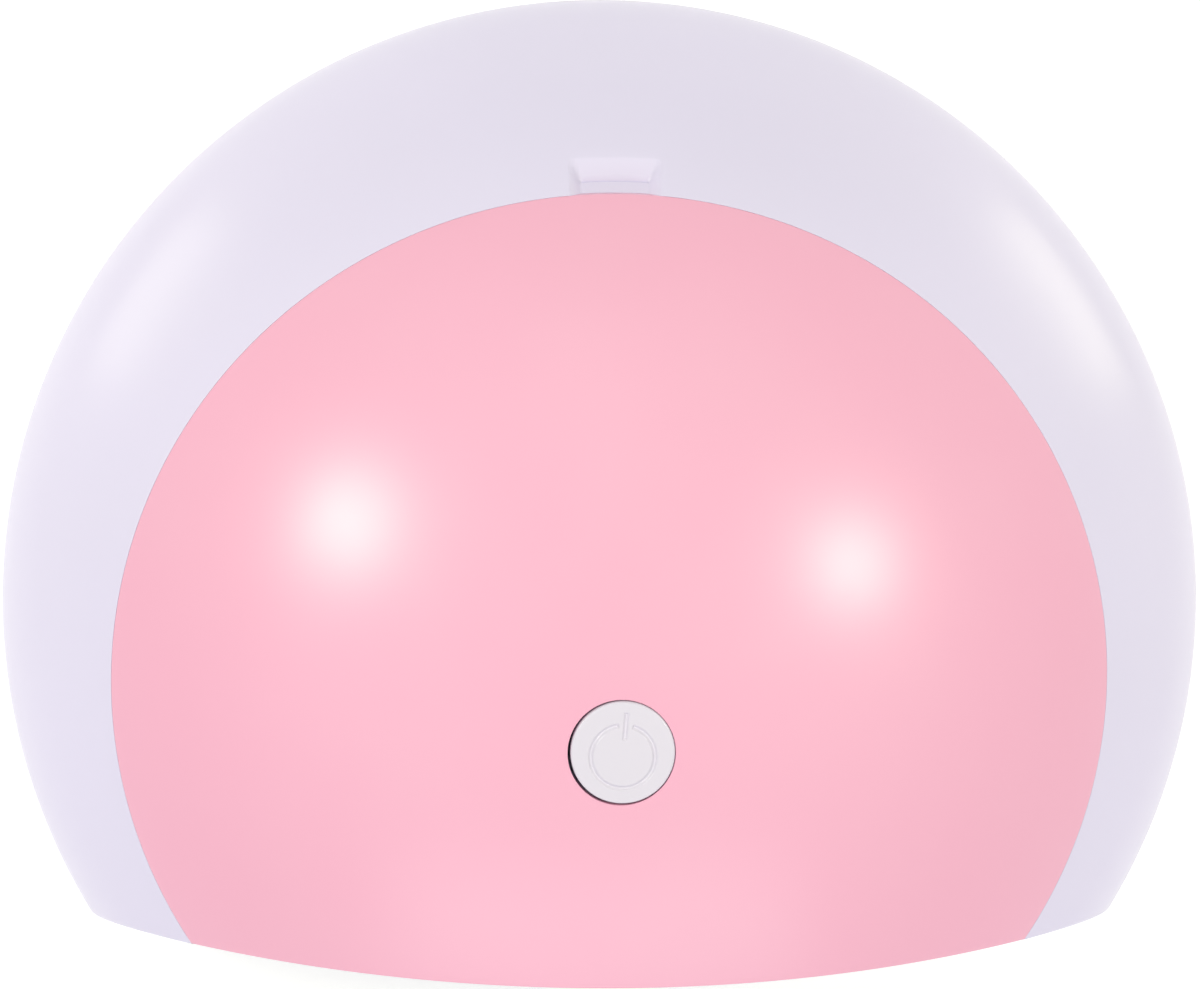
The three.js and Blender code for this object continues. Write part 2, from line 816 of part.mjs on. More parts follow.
// The bottom plate, with a raised floor that fits in the frame's mouth.
function baseTray() {
  const plan = disc(skirtAt(shellFoot, 0) - trayInset, footRise, trayTop, roundSteps);
  const plate = solid(plan).intersect(solid(behindFront(trayInset)));
  const floor = horseshoe(cavityHalfWidth - padClearance, -shellRadius);
  const pad = solid(prism(floor, trayTop - fit, trayTop + padRise)).intersect(
    solid(behindFront(trayInset + padClearance)),
  );
  const recesses = footPlaces.map((place) =>
    pin(place, footRadius + fit, 0, footRise + footSink + fit, smallSteps * 2),
  );
  const low = trayTop - magnetThickness - fit;
  const pockets = Object.values(magnetPlaces).map((place) =>
    pin(place, magnetRadius + magnetSlack, low, trayTop + overrun, holeSteps),
  );
  return geometryOf(cut(plate.add(pad), [...recesses, ...pockets]));
}

function trayFoil() {
  const low = trayTop + padRise + fit;
  const plan = horseshoe(cavityHalfWidth - padClearance - foilInset, -shellRadius);
  return geometryOf(
    solid(prism(plan, low, low + foilThickness)).intersect(
      solid(behindFront(trayInset + padClearance + foilInset)),
    ),
  );
}

function foot() {
  return spun(
    [
      [0, 0],
      [footRadius - footEdge, 0],
      [footRadius, footEdge],
      [footRadius, footRise + footSink],
      [0, footRise + footSink],
    ],
    smallSteps * 2,
  );
}

// A round LED with its board side at z = 0 and its lens pointing down.
function led() {
  const lens = [];
  for (let i = 0; i <= lensSteps; i++) {
    const a = (Math.PI / 2) * (i / lensSteps);
    const r = i === 0 ? 0 : ledLensRadius * Math.sin(a);
    lens.push([r, -ledBase - ledLensHeight * Math.cos(a)]);
  }
  return spun([...lens, [ledRadius, -ledBase], [ledRadius, 0], [0, 0]], smallSteps);
}

// A sensor in a round package: a flange against the board and a domed tip that points down.
function sensor() {
  const tip = sensorRadius / 2;
  return spun(
    [
      [0, -sensorLength],
      [tip, -sensorLength],
      [sensorRadius, -sensorLength + tip],
      [sensorRadius, -sensorFlangeHeight],
      [sensorRadius + sensorFlange, -sensorFlangeHeight],
      [sensorRadius + sensorFlange, 0],
      [0, 0],
    ],
    smallSteps,
  );
}

// A cross-head screw standing on its head: the head's face is at z = 0 and the shank rises.
function screw(head, headHeight, shank, length) {
  const body = solid(
    spun(
      [
        [0, 0],
        [head, 0],
        [head, headHeight],
        [shank, headHeight],
        [shank, length - shank],
        [shank / 2, length],
        [0, length],
      ],
      smallSteps,
    ),
  );
  const half = screwRecessWidth / 2;
  const arms = [
    block([-screwRecess, screwRecess], [-half, half], [-screwRecessDepth, screwRecessDepth]),
    block([-half, half], [-screwRecess, screwRecess], [-screwRecessDepth, screwRecessDepth]),
  ];
  return geometryOf(cut(body, arms.map(solid)));
}

function smallScrew() {
  return screw(smallScrewHead, smallScrewHeadHeight, smallScrewShank, smallScrewLength);
}

// A board centred on the middle plane, with round holes for its screws.
function board(width, length, front, low, places) {
  const along = [front, front + length];
  const plate = solid(block([-width / 2, width / 2], along, [low, low + boardThickness]));
  const holes = places.map((place) =>
    pin(place, smallScrewShank + fit, low - overrun, low + overrun),
  );
  return geometryOf(cut(plate, holes));
}

function ceilingLedBoard() {
  const places = ledBoardScrewPlaces;
  return board(ceilingBoardWidth, ceilingBoardLength, ceilingBoardFront, ceilingBoardFoot, places);
}

function controlBoard() {
  const places = controlScrewPlaces;
  return board(controlBoardWidth, controlBoardLength, controlBoardFront, controlBoardFoot, places);
}

function powerBoard() {
  const places = powerScrewPlaces;
  return board(powerBoardWidth, powerBoardLength, powerBoardFront, powerBoardFoot, places);
}

function switchBody() {
  const half = switchSide / 2;
  const low = controlBoardTop + fit;
  const box = solid(block([-half, half], [-half, half], [low, switchTop]));
  const floor = switchTop - plungerSink - plungerStroke - fit;
  const well = pin([0, 0], plungerRadius + fit, floor, switchTop + overrun, smallSteps * 2);
  return geometryOf(box.subtract(well));
}

function switchPlunger() {
  return disc(plungerRadius, switchTop - plungerSink, plungerTop, smallSteps * 2);
}

// An outline of the socket's section, drawn in from its outside by an inset.
function socketOutline(inset) {
  const height = socketHeight - 2 * inset;
  return roundedRect(socketWidth - 2 * inset, height, height / 2 - socketWall / 2);
}

// The socket's pressed metal sleeve, open at both ends along Y.
function socketShell() {
  const outline = socketOutline(0);
  outline.holes.push(socketOutline(socketWall));
  return tunnel(outline, socketMouth, socketMouth - socketLength, cornerSteps).translate(
    0,
    0,
    socketAxis,
  );
}

// The insulator inside the sleeve: a block at the back and the contact tongue.
function socketTongue() {
  const back = socketMouth - socketLength;
  const blockEnd = socketMouth - tongueLength;
  const plug = tunnel(socketOutline(socketWall + fit), blockEnd, back, cornerSteps);
  const tongue = block(
    [-tongueWidth / 2, tongueWidth / 2],
    [back + fit, socketMouth - tongueSetback],
    [-tongueThickness / 2, tongueThickness / 2],
  );
  return geometryOf(solid(plug).add(solid(tongue))).translate(0, 0, socketAxis);
}

// A lead along a curve through the given points.
function lead(points) {
  const circle = new THREE.Shape();
  circle.absarc(0, 0, wireRadius, 0, 2 * Math.PI, false);
  const path = new THREE.CatmullRomCurve3(points.map((point) => new THREE.Vector3(...point)));
  return new THREE.ExtrudeGeometry(circle, {
    steps: wireSteps,
    extrudePath: path,
    curveSegments: cornerSteps,
  });
}

// From the edge of the ceiling board out and down to the top of a side board.
function sideLead(side) {
  const y = sideBoardFront + sideBoardLength / 2;
  const start = ceilingBoardWidth / 2 + fit;
  const high = ceilingBoardFoot + boardThickness / 2;
  const end = sideBoardInner() + boardThickness / 2;
  const low = sideBoardFoot + sideBoardHeight + fit;
  return lead([
    [side * start, y, high],
    [side * (start + wireRun), y, high],
    [side * end, y, low + wireRun],
    [side * end, y, low],
  ]);
}

// From the power board up behind the reflector and over it to the edge of the control board.
function powerLead() {
  const x = powerWireColumn;
  const start = [powerBoardFront + wireRadius, powerBoardFoot + boardThickness + fit];
  const edge = new THREE.Vector3(x, controlBoardReach + fit, controlBoardTop - boardThickness / 2);
  const straight = edge.clone().setY(edge.y + wireRun);
  return lead([
    [x, ...start],
    [x, start[0], start[1] + wireRun],
    ...powerWireShares.map(([back, up]) => [x, back * cavityHalfWidth, up * cavityTop]),
    straight.applyMatrix4(leaning).toArray(),
    edge.applyMatrix4(leaning).toArray(),
  ]);
}

const lamp = new THREE.Group();
const leaningGroup = new THREE.Group();
leaningGroup.position.z = crownCentre;
leaningGroup.rotation.x = lean;
lamp.add(leaningGroup);
lamp.position.y = -domeOffset;

function material(name) {
  const [color, roughness, metalness] = colours[name];
  return new THREE.MeshStandardMaterial({ color, roughness, metalness });
}

// Adds a named piece to a group, at a place and turned about X or Y.
function add(group, name, geometry, look, place = [0, 0, 0], turn = [0, 0, 0]) {
  const mesh = new THREE.Mesh(geometry, material(look));
  mesh.name = name;
  mesh.position.set(...place);
  mesh.rotation.set(...turn);
  group.add(mesh);
}

function addCasing() {
  add(lamp, "main_housing", mainHousing(), "shell");
  add(lamp, "faceplate", faceplate(), "plate");
  add(lamp, "base_frame", baseFrame(), "shell");
  add(lamp, "inner_reflector", innerReflector(), "reflector");
  bossPlaces.forEach(([x, y], i) => {
    const head = screw(screwHead, screwHeadHeight, screwShank, housingScrewLength);
    add(lamp, `housing_screw_${i + 1}`, head, "metal", [x, y, shellFoot + fit / 2]);
  });
}

function addBase() {
  add(lamp, "base_tray", baseTray(), "shell");
  add(lamp, "tray_foil", trayFoil(), "metal");
  footPlaces.forEach(([x, y], i) => {
    add(lamp, `foot_${i + 1}`, foot(), "rubber", [x, y, 0]);
  });
  Object.entries(magnetPlaces).forEach(([name, place]) => {
    const upper = discAt(place, magnetRadius, shellFoot + fit, shellFoot + fit + magnetThickness);
    const lower = discAt(place, magnetRadius, trayTop - magnetThickness, trayTop);
    add(lamp, `frame_magnet_${name}`, upper, "metal");
    add(lamp, `tray_magnet_${name}`, lower, "metal");
  });
}

function addControls() {
  add(leaningGroup, "power_button", powerButton(), "button");
  add(leaningGroup, "switch_body", switchBody(), "black");
  add(leaningGroup, "switch_plunger", switchPlunger(), "black");
  add(leaningGroup, "control_board", controlBoard(), "board");
  const onBoard = ([x, y]) => [
    (x * controlBoardWidth) / 2,
    y * controlBoardReach,
    controlBoardTop + fit,
  ];
  const chip = new THREE.BoxGeometry(chipLength, chipWidth, chipHeight);
  chip.translate(0, 0, chipHeight / 2);
  add(leaningGroup, "controller_chip", chip, "black", onBoard(chipPlaceShares));
  const coil = disc(inductorRadius, 0, inductorHeight, smallSteps * 2);
  add(leaningGroup, "power_inductor", coil, "black", onBoard(inductorPlaceShares));
  const can = disc(capacitorRadius, 0, capacitorHeight, smallSteps * 2);
  add(leaningGroup, "filter_capacitor", can, "metal", onBoard(capacitorPlaceShares));
  controlScrewPlaces.forEach(([x, y], i) => {
    const place = [x, y, controlBoardFoot - fit - smallScrewHeadHeight];
    add(leaningGroup, `control_board_screw_${i + 1}`, smallScrew(), "metal", place);
  });
}

function addLamps() {
  add(lamp, "ceiling_led_board", ceilingLedBoard(), "lampBoard");
  ceilingPlaces().forEach(([x, y], i) => {
    add(lamp, `ceiling_led_${i + 1}`, led(), "lens", [x, y, ceilingBoardFoot - fit]);
  });
  const names = { left: -1, right: 1 };
  Object.entries(names).forEach(([name, side]) => {
    add(lamp, `${name}_led_board`, sideBoardSpace(side, 0), "lampBoard");
    sideRows().forEach((y, i) => {
      const place = [side * (sideBoardInner() - fit), y, sideLedHeight];
      add(lamp, `${name}_led_${i + 1}`, led(), "lens", place, [0, (side * Math.PI) / 2, 0]);
    });
    add(lamp, `${name}_wire_lead`, sideLead(side), "wire");
  });
  Object.entries(sensorPlaces).forEach(([name, [x, y]]) => {
    const look = x < 0 ? "lens" : "sensorDark";
    add(lamp, name, sensor(), look, [x, y, ceilingBoardFoot - fit]);
  });
  ledBoardScrewPlaces.forEach(([x, y], i) => {
    const place = [x, y, ceilingScrewTop];
    add(lamp, `led_board_screw_${i + 1}`, smallScrew(), "metal", place, [Math.PI, 0, 0]);
  });
}

function addPower() {
  add(lamp, "power_board", powerBoard(), "board");
  add(lamp, "usb_socket_shell", socketShell(), "metal");
  add(lamp, "usb_socket_tongue", socketTongue(), "black");
  add(lamp, "power_wire_lead", powerLead(), "wire");
  powerScrewPlaces.forEach(([x, y], i) => {
    const top = powerBoardFoot + boardThickness + fit + smallScrewHeadHeight;
    add(lamp, `power_board_screw_${i + 1}`, smallScrew(), "metal", [x, y, top], [Math.PI, 0, 0]);
  });
}

addCasing();
addBase();
addControls();
addLamps();
addPower();

export default lamp;
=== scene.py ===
"""The looks of a small domed UV nail lamp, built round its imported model.

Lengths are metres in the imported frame: +Z up, the hand goes in from -Y, the table is z = 0.
The dome, its seam, the button and the hand opening are surfaces of two parameters, worked out
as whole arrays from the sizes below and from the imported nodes' own boxes.
"""

import json
import logging
import math
from dataclasses import dataclass, field
from enum import Enum
from typing import Callable

import bmesh
import bpy
import numpy as np
from mathutils import Matrix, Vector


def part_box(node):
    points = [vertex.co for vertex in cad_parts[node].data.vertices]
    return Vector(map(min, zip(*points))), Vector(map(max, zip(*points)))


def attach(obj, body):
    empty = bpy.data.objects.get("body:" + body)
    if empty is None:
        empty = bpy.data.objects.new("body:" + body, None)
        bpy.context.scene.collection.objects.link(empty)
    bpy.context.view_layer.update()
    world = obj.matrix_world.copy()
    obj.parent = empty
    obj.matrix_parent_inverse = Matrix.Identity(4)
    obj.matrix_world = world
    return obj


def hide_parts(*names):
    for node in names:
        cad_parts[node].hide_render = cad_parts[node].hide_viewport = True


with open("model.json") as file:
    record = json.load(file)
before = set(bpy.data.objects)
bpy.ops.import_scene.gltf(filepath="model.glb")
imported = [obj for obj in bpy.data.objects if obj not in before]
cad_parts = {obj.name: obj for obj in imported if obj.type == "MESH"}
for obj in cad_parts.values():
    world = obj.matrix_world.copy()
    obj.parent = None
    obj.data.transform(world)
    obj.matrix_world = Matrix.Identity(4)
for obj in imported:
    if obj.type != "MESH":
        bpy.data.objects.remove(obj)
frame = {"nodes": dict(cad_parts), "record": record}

logging.basicConfig(level=logging.INFO, format="%(name)s: %(message)s")
log = logging.getLogger("nail_lamp")

Array = np.ndarray
Colour = tuple[float, float, float]
Lift = Callable[[Array], Array]
Material = bpy.types.Material
Node = bpy.types.Node
Socket = bpy.types.NodeSocket
Tree = bpy.types.NodeTree

# Points times this are mirrored across the middle plane.
MIRROR = np.array([-1.0, 1.0, 1.0])
HALF_TURN = math.pi
QUARTER_TURN = math.pi / 2


class Body(Enum):
    """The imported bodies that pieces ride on."""

    BASE = "base"
    LAMP = "lamp"
    FACEPLATE = "faceplate"
    BUTTON = "button"
    PLUNGER = "plunger"


class Slot(Enum):
    """The record's material slots."""

    SHELL = "shell"
    PLATE = "plate"
    BUTTON = "button"
    REFLECTOR = "reflector"
    FOIL = "foil"
    RUBBER = "rubber"
    MAGNET = "magnet"
    BOARD = "board"
    LAMP_BOARD = "lamp_board"
    LED = "led"
    DARK_LENS = "dark_lens"
    BLACK_PLASTIC = "black_plastic"
    CAN = "can"
    STEEL = "steel"
    WIRE = "wire"


class Side(Enum):
    """Left and right of someone who faces the hand opening."""

    LEFT = -1
    RIGHT = 1


def corner(node: str, end: int) -> Array:
    """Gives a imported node's lowest corner for end 0, its highest for end 1."""
    return np.array(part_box(node)[end])


def middle(node: str) -> Array:
    """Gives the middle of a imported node's box."""
    return (corner(node, 0) + corner(node, 1)) / 2.0


def half_size(node: str) -> Array:
    """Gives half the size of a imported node's box."""
    return (corner(node, 1) - corner(node, 0)) / 2


def unit(vectors: Array) -> Array:
    """Scales vectors, along the last axis, to length one."""
    return vectors / np.maximum(np.linalg.norm(vectors, axis=-1, keepdims=True), 1e-12)


def stack(x: Array, y: Array, z: Array) -> Array:
    """Joins coordinate arrays of one shape, or numbers, into an array of points."""
    return np.stack(np.broadcast_arrays(x, y, z), axis=-1)


def polar(radius: Array, angle: Array) -> Array:
    """Gives plan coordinates: (r cos a, r sin a)."""
    return np.stack(np.broadcast_arrays(radius * np.cos(angle), radius * np.sin(angle)), axis=-1)


def level(flat: Array, height: float | Array) -> Array:
    """Puts plan coordinates at a height."""
    return stack(flat[..., 0], flat[..., 1], height)


def wrapped(grid: Array) -> Array:
    """Repeats a grid's first column after its last."""
    return np.concatenate([grid, grid[:, :1]], axis=1)


def quarter(steps: int) -> tuple[Array, Array]:
    """Gives 1 - sin a and 1 - cos a over a quarter turn, the two offsets of a rounded edge."""
    turn = np.linspace(0.0, QUARTER_TURN, steps + 1)
    return 1.0 - np.sin(turn), 1.0 - np.cos(turn)


def smoothstep(low: float, high: float, value: Array) -> Array:
    """Rises from 0 at low to 1 at high with level ends: 3t^2 - 2t^3."""
    t = np.clip((value - low) / (high - low), 0.0, 1.0)
    return t * t * (3.0 - 2.0 * t)


def rounded_edge(edge: Array, first: Array, second: Array, radius: Array, steps: int) -> Array:
    """Rolls a ball along an edge between two faces.

    The ball's centre is E - r (n1 + n2) / (1 + n1.n2), and the surface is the centre plus r
    times a normal that swings from n1 to n2 by equal angles.

    Args:
        edge: points on the sharp edge, shape (n, 3).
        first: outward unit normals of the first face there.
        second: outward unit normals of the second face there.
        radius: the ball's radius at each point.
        steps: faces across the rounding.

    Returns:
        Points of shape (steps + 1, n, 3), from the first face to the second.
    """
    dot = np.clip(np.sum(first * second, axis=-1), -0.995, 0.99999)
    angle = np.arccos(dot)[:, None]
    size = np.broadcast_to(np.asarray(radius, float), dot.shape)[:, None]
    centre = edge - size * (first + second) / (1.0 + dot[:, None])
    share = np.linspace(0.0, 1.0, steps + 1)[:, None, None]
    swing = (np.sin((1.0 - share) * angle) * first + np.sin(share * angle) * second) / np.sin(angle)
    return centre + size * unit(swing)


def eased_corner(before: Array, here: Array, after: Array, reach: float, steps: int) -> Array:
    """Rounds a corner by the quadratic (1 - t)^2 a + 2 t (1 - t) c + t^2 b.

    Args:
        before: a point on the side that leads to the corner.
        here: the corner, c.
        after: a point on the side that leaves it.
        reach: how far from the corner, on the two sides, a and b lie.
        steps: pieces in the rounding.

    Returns:
        The rounding's points.
    """
    start = here + unit(before - here) * reach
    end = here + unit(after - here) * reach
    t = np.linspace(0.0, 1.0, steps + 1)[:, None]
    return (1 - t) ** 2 * start + 2 * t * (1 - t) * here + t**2 * end


@dataclass
class Mesh:
    """A surface under construction: blocks of points, and quads that name them by number."""

    points: list[Array] = field(default_factory=list)
    quads: list[Array] = field(default_factory=list)
    count: int = 0

    def add_points(self, points: Array) -> Array:
        """Adds points and gives back their numbers in the same arrangement.

        Args:
            points: an array whose last axis is x, y, z.

        Returns:
            The new points' numbers, in the shape of the other axes.
        """
        flat = points.reshape(-1, 3)
        self.points.append(flat)
        self.count += len(flat)
        return np.arange(self.count - len(flat), self.count).reshape(points.shape[:-1])

    def add_grid(self, index: Array, around: bool = False, keep: Array | None = None) -> None:
        """Adds a quad for each cell of a grid of point numbers.

        Args:
            index: the grid, rows by columns.
            around: joins the last column to the first.
            keep: marks the cells to make, where some are left out.
        """
        if around:
            index = wrapped(index)
        cells = np.stack([index[:-1, :-1], index[:-1, 1:], index[1:, 1:], index[1:, :-1]], axis=-1)
        self.quads.append(cells[keep] if keep is not None else cells.reshape(-1, 4))

    def add_strip(self, near: Array, far: Array, around: bool = True) -> None:
        """Joins two rows of point numbers with one row of quads."""
        self.add_grid(np.stack([near, far]), around)

    def add_cap(self, ring: Array, centre: Array) -> None:
        """Closes a ring of point numbers with triangles that meet at one new point."""
        tip = self.add_points(np.array(centre).reshape(1, 3))
        self.add_strip(ring, np.broadcast_to(tip, ring.shape))

    def flipped(self) -> "Mesh":
        """Turns every face to look the other way."""
        self.quads = [quad[:, ::-1] for quad in self.quads]
        return self

    def carried(self, turn: Array, place: Array) -> "Mesh":
        """Turns the mesh by a rotation matrix and moves it to a place."""
        self.points = [points @ turn.T + place for points in self.points]
        return self

    def arrays(self) -> tuple[Array, Array]:
        """Gives all points and all quads as two arrays."""
        return np.concatenate(self.points), np.concatenate(self.quads)


def rim_edges(quads: Array) -> Array:
    """Finds the directed edges that only one quad has.

    Args:
        quads: point numbers, four to a face.

    Returns:
        Pairs of point numbers, each in its face's own direction.
    """
    pairs = np.concatenate([quads[:, [i, (i + 1) % 4]] for i in range(4)])
    pairs = pairs[pairs[:, 0] != pairs[:, 1]]
    key = np.sort(pairs, axis=1)
    code = key[:, 0].astype(np.int64) * (quads.max() + 1) + key[:, 1]
    _, place, times = np.unique(code, return_inverse=True, return_counts=True)
    return pairs[times[place.ravel()] == 1]


def thickened(outer: Array, inner: Array, quads: Array) -> Mesh:
    """Makes a closed wall from an outer and an inner layer with the same faces.

    Args:
        outer: points of the outer layer.
        inner: points of the inner layer, in the same order.
        quads: the faces, looking outwards on the outer layer.

    Returns:
        The wall, closed by a strip along every free edge.
    """
    wall = Mesh()
    near, far = wall.add_points(outer), wall.add_points(inner)
    start, end = rim_edges(quads).T
    strip = np.stack([near[end], near[start], far[start], far[end]], axis=-1)
    wall.quads += [near[quads], far[quads][:, ::-1], strip]
    return wall


@dataclass
class Hole:
    """An opening let into a grid, in the grid's own flat coordinates.

    The block of cells within the margin is taken out, and rings of quads join the block's edge
    to the outline. Each point of the outline lies on the ray from the centre to its partner.
    """

    centre: Array
    reach: Lift
    margin: float | Array

    def block(self, flat: Array) -> tuple[slice, slice]:
        """Finds the block of a grid to take out.

        Args:
            flat: the grid's flat coordinates, rows by columns by two.

        Returns:
            The rows and columns of the block's points.
        """
        near = np.argwhere((np.abs(flat - self.centre) / self.margin).max(axis=-1) < 1.0)
        low, high = near.min(axis=0) - 1, near.max(axis=0) + 2
        return slice(low[0], high[0]), slice(low[1], high[1])

    def outline(self, flat: Array) -> Array:
        """Gives the hole's outline at the angles of other points round it.

        Args:
            flat: the points' flat coordinates, in order.

        Returns:
            The outline's flat coordinates, as many as there are points.
        """
        away = flat - self.centre
        angle = np.arctan2(away[:, 1], away[:, 0])
        return self.centre + polar(self.reach(angle), angle)


def round_hole(centre: Array, radius: float, margin: float) -> Hole:
    """Makes a round hole, whose reach is the same at every angle."""
    return Hole(np.array(centre), lambda angle: np.full_like(angle, radius), margin)


def slot_reach(angle: Array, half_width: float, half_height: float, rounding: float) -> Array:
    """Measures a rounded rectangle from its middle.

    The reach along a ray is where it meets |x/a|^n + |y/b|^n = 1, with n from the rounding.

    Args:
        angle: the rays' angles.
        half_width: half the width, a.
        half_height: half the height, b.
        rounding: the corner's radius.

    Returns:
        The reach at each angle.
    """
    power = 2.0 + 1.6 * min(half_width, half_height) / rounding
    across, up = np.abs(np.cos(angle)) / half_width, np.abs(np.sin(angle)) / half_height
    return (across**power + up**power) ** (-1.0 / power)


def block_edge(block: Array) -> Array:
    """Walks round a block of a grid without a repeat: along its first row, down, back and up."""
    return np.concatenate([block[0, :-1], block[:-1, -1], block[-1, :0:-1], block[:0:-1, 0]])


def pierce(mesh: Mesh, index: Array, flat: Array, holes: list[Hole], lift: Lift) -> list[tuple[Array, Array]]:
    """Adds a grid to a mesh with holes let into it.

    Args:
        mesh: the mesh under construction.
        index: the grid's point numbers.
        flat: the grid's flat coordinates.
        holes: the holes.
        lift: puts flat coordinates onto the surface.

    Returns:
        For each hole, its rim's point numbers and flat coordinates.
    """
    keep = np.ones((index.shape[0] - 1, index.shape[1] - 1), bool)
    rims = []
    for hole in holes:
        rows, columns = hole.block(flat)
        keep[rows.start : rows.stop - 1, columns.start : columns.stop - 1] = False
        edge = block_edge(flat[rows, columns])
        outline = hole.outline(edge)
        between = mesh.add_points(lift(0.35 * edge + 0.65 * outline))
        rim = mesh.add_points(lift(outline))
        mesh.add_strip(block_edge(index[rows, columns]), between)
        mesh.add_strip(between, rim)
        rims.append((rim, outline))
    mesh.add_grid(index, keep=keep)
    return rims


def spun(profile: Array, steps: int, centre: Array | float = 0.0) -> Mesh:
    """Spins a profile of (radius, height) rows about an upright axis.

    A point is (r cos a, r sin a, h). The profile runs from the foot up, with its outside to
    the right, and a radius of zero at an end closes it.

    Args:
        profile: rows of radius and height.
        steps: faces round the axis.
        centre: where the axis stands.

    Returns:
        The closed surface.
    """
    angle = np.linspace(0.0, 2.0 * math.pi, steps, endpoint=False)
    mesh = Mesh()
    index = mesh.add_points(level(polar(profile[:, :1], angle), profile[:, 1:]) + centre)
    mesh.add_grid(index, around=True)
    return mesh


def rounded_profile(corners: list[tuple[float, float, float]], steps: int = 4) -> Array:
    """Rounds the corners of an open profile.

    Args:
        corners: rows of radius, height and rounding distance.
        steps: pieces in each rounding.

    Returns:
        The profile as rows of radius and height.
    """
    points = np.array([entry[:2] for entry in corners], float)
    out = [points[:1]]
    for before, here, after, entry in zip(points[:-2], points[1:-1], points[2:], corners[1:-1]):
        out.append(eased_corner(before, here, after, entry[2], steps) if entry[2] > 0.0 else here[None])
    return np.concatenate(out + [points[-1:]])


@dataclass(frozen=True)
class Finish:
    """A finish once made: its material, and the record's slot that it dresses."""

    material: Material
    slot: Slot


def enter(name: str, data: bpy.types.Mesh, finish: Finish, body: Body, node: str) -> bpy.types.Object:
    """Puts a mesh into the scene as a piece of the lamp.

    Args:
        name: the piece's name.
        data: its mesh.
        finish: its finish.
        body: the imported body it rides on.
        node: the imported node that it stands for.

    Returns:
        The new object.
    """
    data.materials.clear()
    data.materials.append(finish.material)
    piece = bpy.data.objects.new(name, data)
    bpy.context.scene.collection.objects.link(piece)
    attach(piece, body.value)
    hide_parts(node)
    log.info("%s: %d faces on %s", name, len(data.polygons), body.value)
    return piece


def make_piece(name: str, mesh: Mesh, finish: Finish, body: Body, node: str, sharp: float = 50.0) -> None:
    """Finishes a surface and puts it into the scene.

    Args:
        name: the piece's name.
        mesh: its surface.
        finish: its finish.
        body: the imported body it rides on.
        node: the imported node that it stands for.
        sharp: edges that turn by more than this many degrees stay crisp.
    """
    points, quads = mesh.arrays()
    data = bpy.data.meshes.new(name)
    data.from_pydata(points.tolist(), [], quads_without_repeats(quads))
    tidy = bmesh.new()
    tidy.from_mesh(data)
    bmesh.ops.remove_doubles(tidy, verts=tidy.verts, dist=2e-7)
    bmesh.ops.dissolve_degenerate(tidy, dist=1e-8, edges=tidy.edges)
    tidy.to_mesh(data)
    tidy.free()
    data.shade_smooth()
    data.set_sharp_from_angle(angle=math.radians(sharp))
    enter(name, data, finish, body, node)


def quads_without_repeats(quads: Array) -> list[list[int]]:
    """Writes quads as lists, and those with a doubled corner as triangles.

    Args:
        quads: point numbers, four to a face.

    Returns:
        Faces of four or three different points.
    """
    same = quads == np.roll(quads, -1, axis=1)
    doubled = same.sum(axis=1) == 1
    return quads[~same.any(axis=1)].tolist() + quads[doubled][~same[doubled]].reshape(-1, 3).tolist()


